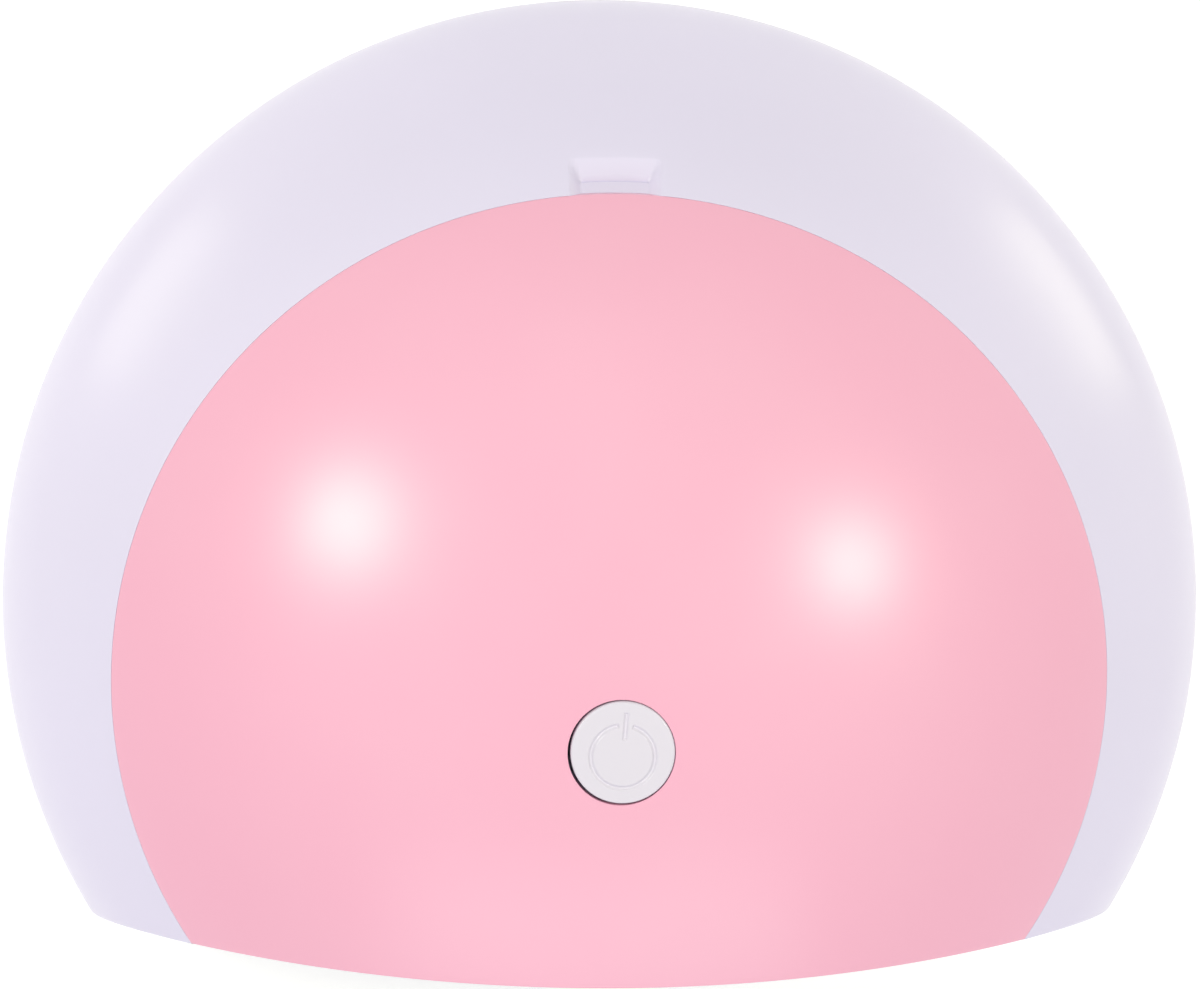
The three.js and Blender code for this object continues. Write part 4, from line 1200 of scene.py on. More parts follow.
def shared_group(work: Callable[..., Socket], gives: str, inputs: dict[str, float | tuple]) -> Tree:
    """Builds a shader node group with the input Place, inputs of its own and one output.

    Args:
        work: adds the group's nodes, from a Net and the input sockets, and gives the result.
        gives: the output's name.
        inputs: each further input's name and first value.

    Returns:
        The group, named for its work.
    """
    tree = bpy.data.node_groups.new(work.__name__, "ShaderNodeTree")
    tree.interface.new_socket("Place", in_out="INPUT", socket_type="NodeSocketVector")
    for label, value in inputs.items():
        kind = "NodeSocketFloat" if isinstance(value, float) else "NodeSocketColor"
        tree.interface.new_socket(label, in_out="INPUT", socket_type=kind).default_value = value
    kind = "NodeSocketColor" if gives == "Color" else "NodeSocketFloat"
    tree.interface.new_socket(gives, in_out="OUTPUT", socket_type=kind)
    given = tree.nodes.new("NodeGroupInput").outputs
    result = work(Net(tree), *(given[label] for label in ("Place", *inputs)))
    tree.links.new(result, tree.nodes.new("NodeGroupOutput").inputs[gives])
    return tree


class Effects:
    """The shared shader node groups, built once."""

    def __init__(self) -> None:
        """Builds the groups."""
        white = (1.0, 1.0, 1.0, 1.0)
        self.grain = shared_group(moulded_grain, "Height", {"Size": 0.0003})
        self.handled = shared_group(handled_surface, "Roughness", {"Roughness": 0.4, "Spread": 0.04})
        self.scratches = shared_group(hair_scratches, "Mask", {"Spacing": 0.02, "Turn": 0.6})
        self.dust = shared_group(settled_dust, "Mask", {"Amount": 0.1})
        self.tint = shared_group(tinted_colour, "Color", {"Light": white, "Deep": white, "Size": 0.03})


def new_material(name: str) -> tuple[Material, Net, Node, Socket]:
    """Starts a material.

    Args:
        name: the material's name.

    Returns:
        The material, a Net in it, its Principled shader and the object's own coordinates.
    """
    material = bpy.data.materials.new(name)
    material.use_nodes = True
    net = Net(material.node_tree)
    return material, net, material.node_tree.nodes["Principled BSDF"], net.add("TexCoord").outputs["Object"]


def shade(colour: Colour, factor: float = 1.0) -> tuple[float, float, float, float]:
    """Scales a colour and gives it an alpha of one."""
    return tuple(min(1.0, part * factor) for part in colour) + (1.0,)


@dataclass(frozen=True)
class PlasticFinish:
    """Moulded plastic: a drifting tint, fine grain, handled gloss, faint scratches and dust."""

    name: str
    slot: Slot
    colour: Colour
    roughness: float
    spread: float = 0.05
    grain: float = 0.00028
    grain_depth: float = 0.0000025
    dust: float = 0.06
    dust_colour: Colour = (0.8, 0.79, 0.77)
    scratch_depth: float = 0.4
    drift: float = 0.97

    def made(self, effects: Effects) -> Finish:
        """Builds the material.

        Args:
            effects: the shared groups.

        Returns:
            The finish, made.
        """
        material, net, shader, place = new_material(self.name)
        deep = shade(self.colour, self.drift)
        tint = net.group(effects.tint, place, Light=shade(self.colour), Deep=deep, Size=0.035)
        dust = net.group(effects.dust, place, Amount=self.dust)
        marks = net.math("MAXIMUM", net.group(effects.scratches, place, Spacing=0.03, Turn=0.7),
                         net.group(effects.scratches, place, Spacing=0.043, Turn=2.1))
        handled = net.group(effects.handled, place, Roughness=self.roughness, Spread=self.spread)
        grain = net.group(effects.grain, place, Size=self.grain)
        height = net.math("MULTIPLY_ADD", marks, -self.scratch_depth, grain)
        bump = net.add("Bump", {"Height": height, "Distance": self.grain_depth})
        rough = net.math("MULTIPLY_ADD", dust, 0.4, handled)
        net.feed(shader, {"Base Color": net.mix(dust, tint, shade(self.dust_colour)), "IOR": 1.5,
                          "Roughness": rough, "Normal": bump.outputs[0]})
        return Finish(material, self.slot)


@dataclass(frozen=True)
class MetalFinish:
    """Bare or plated metal: a drifting tint, uneven gloss and a shallow hammered or drawn relief."""

    name: str
    slot: Slot
    colour: Colour
    roughness: float
    spread: float = 0.08
    relief: float = 0.0006
    relief_depth: float = 0.000004

    def made(self, effects: Effects) -> Finish:
        """Builds the material.

        Args:
            effects: the shared groups.

        Returns:
            The finish, made.
        """
        material, net, shader, place = new_material(self.name)
        light, deep = shade(self.colour), shade(self.colour, 0.9)
        tint = net.group(effects.tint, place, Light=light, Deep=deep, Size=0.008)
        relief = net.group(effects.grain, place, Size=self.relief)
        bump = net.add("Bump", {"Height": relief, "Distance": self.relief_depth})
        handled = net.group(effects.handled, place, Roughness=self.roughness, Spread=self.spread)
        net.feed(shader, {"Base Color": tint, "Roughness": handled, "Normal": bump.outputs[0],
                          "Metallic": 1.0})
        return Finish(material, self.slot)


@dataclass(frozen=True)
class ResinFinish:
    """Cast resin over a lamp or sensor: smooth, its colour drifting in small patches towards a darker heart
    colour.
    """

    name: str
    slot: Slot
    colour: Colour
    heart: Colour
    roughness: float = 0.12

    def made(self, effects: Effects) -> Finish:
        """Builds the material.

        Args:
            effects: the shared groups.

        Returns:
            The finish, made.
        """
        material, net, shader, place = new_material(self.name)
        tint = net.group(effects.tint, place, Light=shade(self.colour), Deep=shade(self.heart), Size=0.0016)
        handled = net.group(effects.handled, place, Roughness=self.roughness, Spread=0.05)
        net.feed(shader, {"Base Color": tint, "Roughness": handled, "Coat Weight": 0.6,
                          "Coat Roughness": 0.05})
        return Finish(material, self.slot)


@dataclass(frozen=True)
class BoardFinish:
    """A circuit board: solder mask over a raised net of tracks, with a few plated pads."""

    name: str
    slot: Slot
    mask: Colour
    track: Colour
    pad: Colour = (0.75, 0.6, 0.3)
    pitch: float = 0.0022

    def made(self, effects: Effects) -> Finish:
        """Builds the material.

        Args:
            effects: the shared groups.

        Returns:
            The finish, made.
        """
        material, net, shader, place = new_material(self.name)
        cells = net.add("TexVoronoi", {"Vector": place, "Scale": 1.0 / self.pitch, "Randomness": 0.45},
                        feature="DISTANCE_TO_EDGE", distance="EUCLIDEAN")
        tracks = net.math("SUBTRACT", 1.0, net.ramp(cells.outputs["Distance"], 0.07, 0.1))
        dots = net.add("TexVoronoi", {"Vector": place, "Scale": 0.45 / self.pitch})
        pads = net.math("SUBTRACT", 1.0, net.ramp(dots.outputs["Distance"], 0.1, 0.12))
        base = net.mix(tracks, shade(self.mask), shade(self.track))
        handled = net.group(effects.handled, place, Roughness=0.34, Spread=0.08)
        bump = net.add("Bump", {"Height": tracks, "Distance": 0.00003})
        net.feed(shader, {"Base Color": net.mix(pads, base, shade(self.pad)), "Metallic": pads,
                          "Roughness": handled, "Normal": bump.outputs[0]})
        return Finish(material, self.slot)


class Finishes:
    """Every finish of the lamp, by the names of its own parts."""

    def __init__(self) -> None:
        """Builds the shared effects and the materials. The shell's comes before others of its slot."""
        effects = Effects()
        plastic, metal = PlasticFinish, MetalFinish
        self.shell = plastic("satin_white_shell", Slot.SHELL, (0.678, 0.638, 0.812), 0.295,
                             0.03).made(effects)
        self.plate = plastic("satin_pink_plate", Slot.PLATE, (0.8, 0.403, 0.54), 0.295, 0.03,
                             drift=0.985).made(effects)
        self.button = plastic("satin_white_button", Slot.BUTTON, (0.665, 0.632, 0.73), 0.32).made(effects)
        self.frame = plastic("inner_white_moulding", Slot.SHELL, (0.74, 0.73, 0.76), 0.45,
                             dust=0.05).made(effects)
        self.tray = plastic("tray_white_moulding", Slot.SHELL, (0.74, 0.73, 0.77), 0.42,
                            dust=0.16).made(effects)
        self.rubber = plastic("soft_grey_rubber", Slot.RUBBER, (0.12, 0.12, 0.13), 0.75, grain=0.0005,
                              grain_depth=0.00003, dust=0.3, drift=0.85).made(effects)
        self.black = plastic("moulded_black", Slot.BLACK_PLASTIC, (0.02, 0.02, 0.022), 0.5, dust=0.1,
                             drift=0.8).made(effects)
        self.wire = plastic("red_insulation", Slot.WIRE, (0.5, 0.03, 0.03), 0.4, grain=0.0008, dust=0.05,
                            drift=0.9).made(effects)
        self.reflector = metal("bright_reflector", Slot.REFLECTOR, (0.86, 0.87, 0.9), 0.2, relief=0.004,
                               relief_depth=0.00012).made(effects)
        self.foil = metal("tray_foil_sheet", Slot.FOIL, (0.85, 0.86, 0.88), 0.22, relief=0.0016,
                          relief_depth=0.00005).made(effects)
        self.steel = metal("plated_steel", Slot.STEEL, (0.6, 0.61, 0.63), 0.34).made(effects)
        self.magnet = metal("nickel_magnet", Slot.MAGNET, (0.62, 0.62, 0.6), 0.16).made(effects)
        self.can = metal("drawn_can", Slot.CAN, (0.66, 0.67, 0.7), 0.35).made(effects)
        self.led = ResinFinish("lamp_lens", Slot.LED, (0.93, 0.9, 0.72), (0.85, 0.78, 0.45)).made(effects)
        self.dark_lens = ResinFinish("infrared_lens", Slot.DARK_LENS, (0.02, 0.012, 0.03),
                                     (0.01, 0.008, 0.012)).made(effects)
        self.board = BoardFinish("green_board", Slot.BOARD, (0.01, 0.13, 0.045),
                                 (0.02, 0.2, 0.08)).made(effects)
        self.lamp_board = BoardFinish("white_board", Slot.LAMP_BOARD, (0.8, 0.82, 0.8),
                                      (0.68, 0.7, 0.68)).made(effects)
        self.floor = self.pale_floor(effects)

    def pale_floor(self, effects: Effects) -> Material:
        """Builds the floor's plain matt white.

        Args:
            effects: the shared groups.

        Returns:
            The material.
        """
        material, net, shader, place = new_material("pale_floor")
        light, deep = shade((0.56, 0.56, 0.56)), shade((0.55, 0.55, 0.55))
        tint = net.group(effects.tint, place, Light=light, Deep=deep, Size=0.5)
        net.feed(shader, {"Base Color": tint, "Roughness": 0.9, "Specular IOR Level": 0.1,
                          "Emission Color": (1.0, 1.0, 1.0, 1.0), "Emission Strength": 0.57})
        return material

    def by_slot(self) -> dict[Slot, Material]:
        """Gives each slot's material, the first one made where a slot has several."""
        made = [finish for finish in vars(self).values() if isinstance(finish, Finish)]
        return {finish.slot: finish.material for finish in reversed(made)}


@dataclass
class Faceplate:
    """The pink plate: a slice of the crown inside the seam's oval, cut by the bowed front.

    Its section is a closed loop from the button's hole over the top, round the edge, back
    underneath and up the hole, carried round the outline. Four pegs are drawn down from it.
    """

    form: DomeForm
    hole: float = 0.00655
    setback: float = 0.00005
    corner_round: float = 0.0002
    edge_round: float = 0.00004
    under_round: float = 0.0002
    peg_radius: float = 0.0015
    peg_length: float = 0.0036
    peg_margin: float = 0.0027
    seam_columns: int = 220
    front_columns: int = 100
    corner_steps: int = 6
    round_steps: int = 4
    rows: int = 46

    def outline(self, depth: float) -> tuple[Array, Array]:
        """Walks round the plate's edge at a depth: right corner, seam, left corner, front.

        The corner's arc is C + r (cos, sin), from the front's normal to the seam's, about the
        point that lies r inside both.

        Args:
            depth: below the crown.

        Returns:
            The edge's points and the side wall's outward normals.
        """
        form = self.form
        size = self.corner_round
        start = form.seam_corner(-size, self.setback + size, depth)
        centre = form.seam(np.array([start]), -size)
        front = form.front_normal(form.on_crown(centre, depth))[0]
        front_flat = unit(front[:2] * np.array([1.0, math.cos(form.lean)]))
        side_flat = form.seam_normal(np.array([start]), 0.0)[0]
        share = np.linspace(0.0, 1.0, self.corner_steps + 1)[:-1, None]
        swing = unit((1.0 - share) * front_flat + share * side_flat)
        arc = form.on_crown(centre + size * swing, depth)
        angles = np.linspace(start, math.pi - start, self.seam_columns)
        seam = form.on_crown(form.seam(angles, 0.0), depth)
        seam_normals = form.leaned_way(form.seam_normal(angles, 0.0))
        arc_normals = unit((1.0 - share) * front + share * seam_normals[0])
        x = np.linspace(-arc[0, 0], arc[0, 0], self.front_columns)[1:-1]
        edge = form.front_on_crown(x, self.setback, depth)
        points = np.concatenate([arc, seam, arc[::-1] * MIRROR, edge])
        mirrored = arc_normals[::-1] * MIRROR
        normals = np.concatenate([arc_normals, seam_normals, mirrored, form.front_normal(edge)])
        return points, normals

    def rim(self, ways: Array, depth: float, radius: float, up: bool) -> Array:
        """Rounds the hole's edge at a depth.

        Args:
            ways: the columns' directions beside the button's axis.
            depth: below the crown.
            radius: the rounding's radius.
            up: whether this is the top edge.

        Returns:
            Rows of points, from the hole's wall out to the plate's face.
        """
        form = self.form
        edge = form.on_crown(ways * self.hole, depth)
        face = form.crown_normal(edge) * (1.0 if up else -1.0)
        return rounded_edge(edge, -form.leaned_way(ways), face, radius, self.round_steps)

    def spread(self, inside: Array, outside: Array, depth: float) -> Array:
        """Fills the face between two rows, straight beside the button's axis, on the crown's ball.

        Args:
            inside: the inner row.
            outside: the outer row.
            depth: below the crown.

        Returns:
            The rows between them.
        """
        form = self.form
        share = np.linspace(0.0, 1.0, self.rows)[1:-1, None, None]
        flat = form.beside_button(inside) * (1.0 - share) + form.beside_button(outside) * share
        return form.on_crown(flat, depth)

    def peg(self, mesh: Mesh, rim: Array, ring: Array, centre: Array) -> None:
        """Draws one peg down from its rim, a little tapered, with a rounded end.

        Args:
            mesh: the plate under construction.
            rim: the rim's point numbers.
            ring: the rim's flat coordinates.
            centre: the peg's flat centre.
        """
        form = self.form
        base = math.sqrt((form.crown_radius - form.plate_thickness) ** 2 - float(centre @ centre))
        end = self.peg_length
        last = rim
        for scale, drop in [(0.97, 0.0008), (0.93, end - 0.0005), (0.82, end - 0.0002), (0.6, end)]:
            flat = centre + (ring - centre) * scale
            row = mesh.add_points(form.leaned(*flat.T, base - drop))
            mesh.add_strip(last, row)
            last = row
        mesh.add_cap(last, form.leaned(*centre, base - end))

    def build(self, finishes: Finishes) -> None:
        """Makes the faceplate piece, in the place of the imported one."""
        form = self.form
        under_depth = form.plate_thickness
        edge, normals = self.outline(0.0)
        top_edge = rounded_edge(edge, form.crown_normal(edge), normals, self.edge_round, self.round_steps)
        low, low_normals = self.outline(under_depth)
        down = -form.crown_normal(low)
        under_edge = rounded_edge(low, low_normals, down, self.under_round, self.round_steps)
        ways = unit(form.beside_button(top_edge[0]))
        top_rim = self.rim(ways, 0.0, self.edge_round, True)
        under_rim = self.rim(ways, under_depth, self.under_round, False)
        top = self.spread(top_rim[-1], top_edge[0], 0.0)
        under = self.spread(under_rim[-1], under_edge[-1], under_depth)
        mesh = Mesh()
        outside = mesh.add_points(np.concatenate([top_rim, top, top_edge, under_edge]))
        mesh.add_grid(outside, around=True)
        grid_points = np.concatenate([under_edge[-1:], under[::-1], under_rim[::-1]])
        index = np.concatenate([outside[-1:], mesh.add_points(grid_points[1:])])
        flat = form.beside_button(wrapped(grid_points))
        holes = [round_hole(place, self.peg_radius, self.peg_margin) for place in form.peg_places()]
        rims = pierce(mesh, wrapped(index), flat, holes, lambda spots: form.on_crown(spots, under_depth))
        mesh.add_strip(index[-1], outside[0])
        for hole, (rim, ring) in zip(holes, rims):
            self.peg(mesh, rim, ring, hole.centre)
        make_piece("faceplate_shell", mesh.flipped(), finishes.plate, Body.FACEPLATE, "faceplate", sharp=42.0)


@dataclass
class Button:
    """The round button: a cap on the crown's curve with the power mark pressed in, a flange and a post."""

    form: DomeForm
    radius: float = 0.00634
    proud: float = 0.0003
    edge_round: float = 0.0003
    flange: float = 0.0014
    flange_thickness: float = 0.001
    post: float = 0.0019
    mark_forward: float = 0.0005
    mark_radius: float = 0.0039
    mark_stroke: float = 0.0004
    mark_depth: float = 0.00026
    mark_slope: float = 0.0004
    mark_gap: float = 0.24
    mark_turn: float = -0.08
    bar_low: float = 0.0022
    bar_high: float = 0.0054
    fine_turn: float = 0.34
    fine_columns: int = 121
    coarse_columns: int = 120
    row_knots: tuple[float, ...] = (0.0, 0.002, 0.0024, 0.0035, 0.0043, 0.0052, 0.0056)
    row_counts: tuple[int, ...] = (8, 12, 8, 24, 7, 10)
    row_spread: float = 0.02
    rim_inset: float = 1.2
    flange_drop: float = 0.0037
    neck: float = 0.0006
    play: tuple[float, float] = (0.00014, 0.00008)

    def pressed(self, reach: Array, angle: Array) -> Array:
        """Gives the mark's depth at polar places about its ring's centre.

        The ring is where | r - R | is under half a stroke, outside the gap. The bar is where
        | r sin a | is under half a stroke between its ends. Both fall off over the slope.

        Args:
            reach: distances from the ring's centre.
            angle: angles from the bar.

        Returns:
            Depths.
        """
        half, slope = self.mark_stroke / 2, self.mark_slope / 2
        gap = (self.mark_gap - np.abs(angle)) * reach + half
        ring = np.maximum(np.abs(reach - self.mark_radius), gap)
        along = reach * np.cos(angle)
        over = np.maximum(self.bar_low - along, along - self.bar_high) + half
        least = np.minimum(ring, np.maximum(np.abs(reach * np.sin(angle)), over))
        return self.mark_depth * (1.0 - smoothstep(half - slope, half + slope, least))

    def columns(self) -> Array:
        """Spreads the angles about the ring's centre, close together beside the bar and the gap's ends."""
        turn = self.fine_turn
        coarse = np.linspace(turn, 2.0 * math.pi - turn, self.coarse_columns)[1:-1]
        return np.concatenate([np.linspace(-turn, turn, self.fine_columns), coarse])

    def rows(self) -> Array:
        """Spreads the distances as shares of the way out, close together at the ring and the bar's ends."""
        knots = self.row_knots
        spans = zip(knots[:-1], knots[1:], self.row_counts)
        return np.concatenate([np.linspace(*span, endpoint=False) for span in spans] + [knots[-1:]])[1:]

    def build(self, finishes: Finishes) -> None:
        """Makes the button piece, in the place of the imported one."""
        form = self.form
        angles = self.columns()
        centre = np.array([0.0, -self.mark_forward])
        ways = polar(1.0, angles + self.mark_turn + QUARTER_TURN)
        limit = self.radius - self.edge_round * self.rim_inset
        ahead = ways @ centre
        outer = -ahead + np.sqrt(ahead**2 + limit**2 - float(centre @ centre))
        reach = self.rows()[:, None]
        reach = np.minimum(reach, outer * (reach / reach[-1, 0]) ** self.row_spread)
        reach = np.minimum(reach, outer - (reach[-1:] - reach) * self.row_spread)
        flat = centre + reach[..., None] * ways
        depth = self.pressed(reach, np.broadcast_to(angles, reach.shape))
        mesh = Mesh()
        face = mesh.add_points(form.on_crown(flat, depth - self.proud))
        edge_ways = unit(flat[-1])
        edge = form.on_crown(edge_ways * self.radius, -self.proud)
        curl = rounded_edge(edge, form.crown_normal(edge), form.leaned_way(edge_ways), self.edge_round, 6)
        wide = self.radius + self.flange
        top = math.sqrt((form.crown_radius - self.flange_drop) ** 2 - wide**2) - form.fit
        low = top - self.flange_thickness
        below = corner("power_button", 0)[2] - form.crown_centre + self.post * math.sin(form.lean)
        foot = below / math.cos(form.lean)
        profile = rounded_profile([
            (self.radius, top + self.neck, 0.0), (self.radius, top, 0.0003), (wide, top, 0.00015),
            (wide, low, 0.00015), (self.post, low, 0.0003), (self.post, foot, 0.0002),
            (0.0004, foot, 0.0)])
        around = edge_ways * profile[:, :1, None]
        lower = form.leaned(around[..., 0], around[..., 1], profile[:, 1:])
        skirt = mesh.add_points(np.concatenate([curl, lower]))
        mesh.add_grid(np.concatenate([face, skirt]), around=True)
        mesh.add_cap(skirt[-1], form.leaned(0.0, 0.0, foot))
        mesh.flipped()
        mesh.add_cap(face[0], form.on_crown(centre, -self.proud))
        mesh.carried(np.eye(3), form.leaned_way(np.array(self.play)))
        make_piece("power_button_cap", mesh, finishes.button, Body.BUTTON, "power_button", sharp=60.0)


def cap_loops(mesh: Mesh, index: Array) -> None:
    """Closes both ends of a swept loop, whose first half is joined to its second, read backwards.

    Args:
        mesh: the mesh under construction.
        index: point numbers, the loop along the first axis and the path along the second.
    """
    half = index.shape[0] // 2
    for end, order in ((0, 1), (-1, -1)):
        ring = index[:, end]
        mesh.add_grid(np.stack([ring[:half], ring[::-1][:half]])[::order])


def joined_at_corner(first: Array, second: Array, reach: float) -> Array:
    """Joins two lines that meet in a corner, rounded over a reach.

    Args:
        first: points whose last is the corner.
        second: points whose first is the corner.
        reach: the rounding's distance from the corner.

    Returns:
        The points of the joined line.
    """
    here = first[-1]
    before = first[np.linalg.norm(first - here, axis=-1) > reach]
    after = second[np.linalg.norm(second - here, axis=-1) > reach]
    return np.concatenate([before, eased_corner(before[-1], here, after[0], reach, 7), after])


@dataclass
class Plan:
    """Outlines in plan that the bowed front edge cuts, seen from one centre."""

    form: DomeForm
    centre_y: float = -0.012
    line_points: int = 1201
    front_points: int = 801
    corner_spread: float = 0.03
    corner_rays: int = 17
    least_turn: float = 0.0006

    def closed(self, sides: Lift, setback: float, reach: float) -> Array:
        """Closes an outline with the front edge and rounds its two front corners.

        Args:
            sides: gives the side line's points from shares 0 at the right front to 1 at the left.
            setback: behind the shell's front edge.
            reach: the corners' rounding.

        Returns:
            The outline's points, counter-clockwise.
        """
        line = sides(np.linspace(0.0, 1.0, self.line_points))
        x = np.linspace(line[-1, 0], line[0, 0], self.front_points)
        front = np.stack([x, self.form.front_line(x, setback)], axis=-1)
        loop = joined_at_corner(line, front, reach)
        turned = np.roll(loop, -(len(loop) // 3), axis=0)
        place = int(np.argmin(np.linalg.norm(turned - line[0], axis=-1)))
        return joined_at_corner(turned[: place + 1], turned[place:], reach)

    def disc(self, radius: float, setback: float, reach: float = 0.0012) -> Array:
        """Gives a disc about the dome's axis, cut by the front edge.

        Args:
            radius: its radius.
            setback: behind the front edge.
            reach: the corners' rounding.

        Returns:
            Its outline.
        """
        start = float(self.form.cut_angle(np.array(radius), setback))

        def sides(share: Array) -> Array:
            """Goes round the circle from the cut on the right to the one on the left."""
            return polar(radius, start + (HALF_TURN - 2 * start) * share) + [0.0, self.form.axis_y]

        return self.closed(sides, setback, reach)

    def horseshoe(self, half_width: float, setback: float, reach: float = 0.0012) -> Array:
        """Gives straight sides and a round back, cut by the front edge.

        Args:
            half_width: half the width, and the back's radius.
            setback: behind the front edge.
            reach: the corners' rounding.

        Returns:
            The outline.
        """
        form = self.form
        front = float(form.front_line(np.array(half_width), setback))

        def sides(share: Array) -> Array:
            """Goes up the right side, round the back and down the left side.

            Args:
                share: shares of the way.

            Returns:
                Places in plan.
            """
            run = form.axis_y - front
            total = 2 * run + HALF_TURN * half_width
            s = share * total
            x, y = polar(half_width, np.clip((s - run) / half_width, 0.0, HALF_TURN)).T
            y = np.where(s < run, front + s, np.where(s > total - run, front + total - s, form.axis_y + y))
            return np.stack([x, y], axis=-1)

        return self.closed(sides, setback, reach)

    def reach(self, outline: Array, angles: Array) -> Array:
        """Measures how far an outline is from the centre along rays.

        Args:
            outline: its points.
            angles: the rays' angles.

        Returns:
            The distances.
        """
        away = outline - np.array([0.0, self.centre_y])
        angle = np.arctan2(away[:, 1], away[:, 0])
        order = np.argsort(angle)
        return np.interp(angles, angle[order], np.linalg.norm(away, axis=-1)[order], period=2 * math.pi)

    def angles(self, outlines: list[Array], count: int = 360) -> Array:
        """Spreads rays evenly, with more of them at each outline's front corners.

        Args:
            outlines: the outlines.
            count: the even rays.

        Returns:
            The rays' angles, rising.
        """
        spread = [np.linspace(-math.pi, math.pi, count, endpoint=False)]
        near = np.linspace(-self.corner_spread, self.corner_spread, self.corner_rays)
        for outline in outlines:
            x, y = outline[:, 0], outline[:, 1] - self.centre_y
            for sign in (-1.0, 1.0):
                low = np.argmax(sign * x - 4.0 * y)
                spread.append(math.atan2(y[low], x[low]) + near)
        angles = np.sort(np.concatenate(spread))
        return angles[np.concatenate([[True], np.diff(angles) > self.least_turn])]

    def ring(self, reach: Array, angles: Array, height: float | Array) -> Array:
        """Puts reaches along the rays at a height."""
        return level(polar(reach, angles) + [0.0, self.centre_y], height)

    def centre(self, height: float) -> Array:
        """Gives the centre at a height."""
        return np.array([0.0, self.centre_y, height])


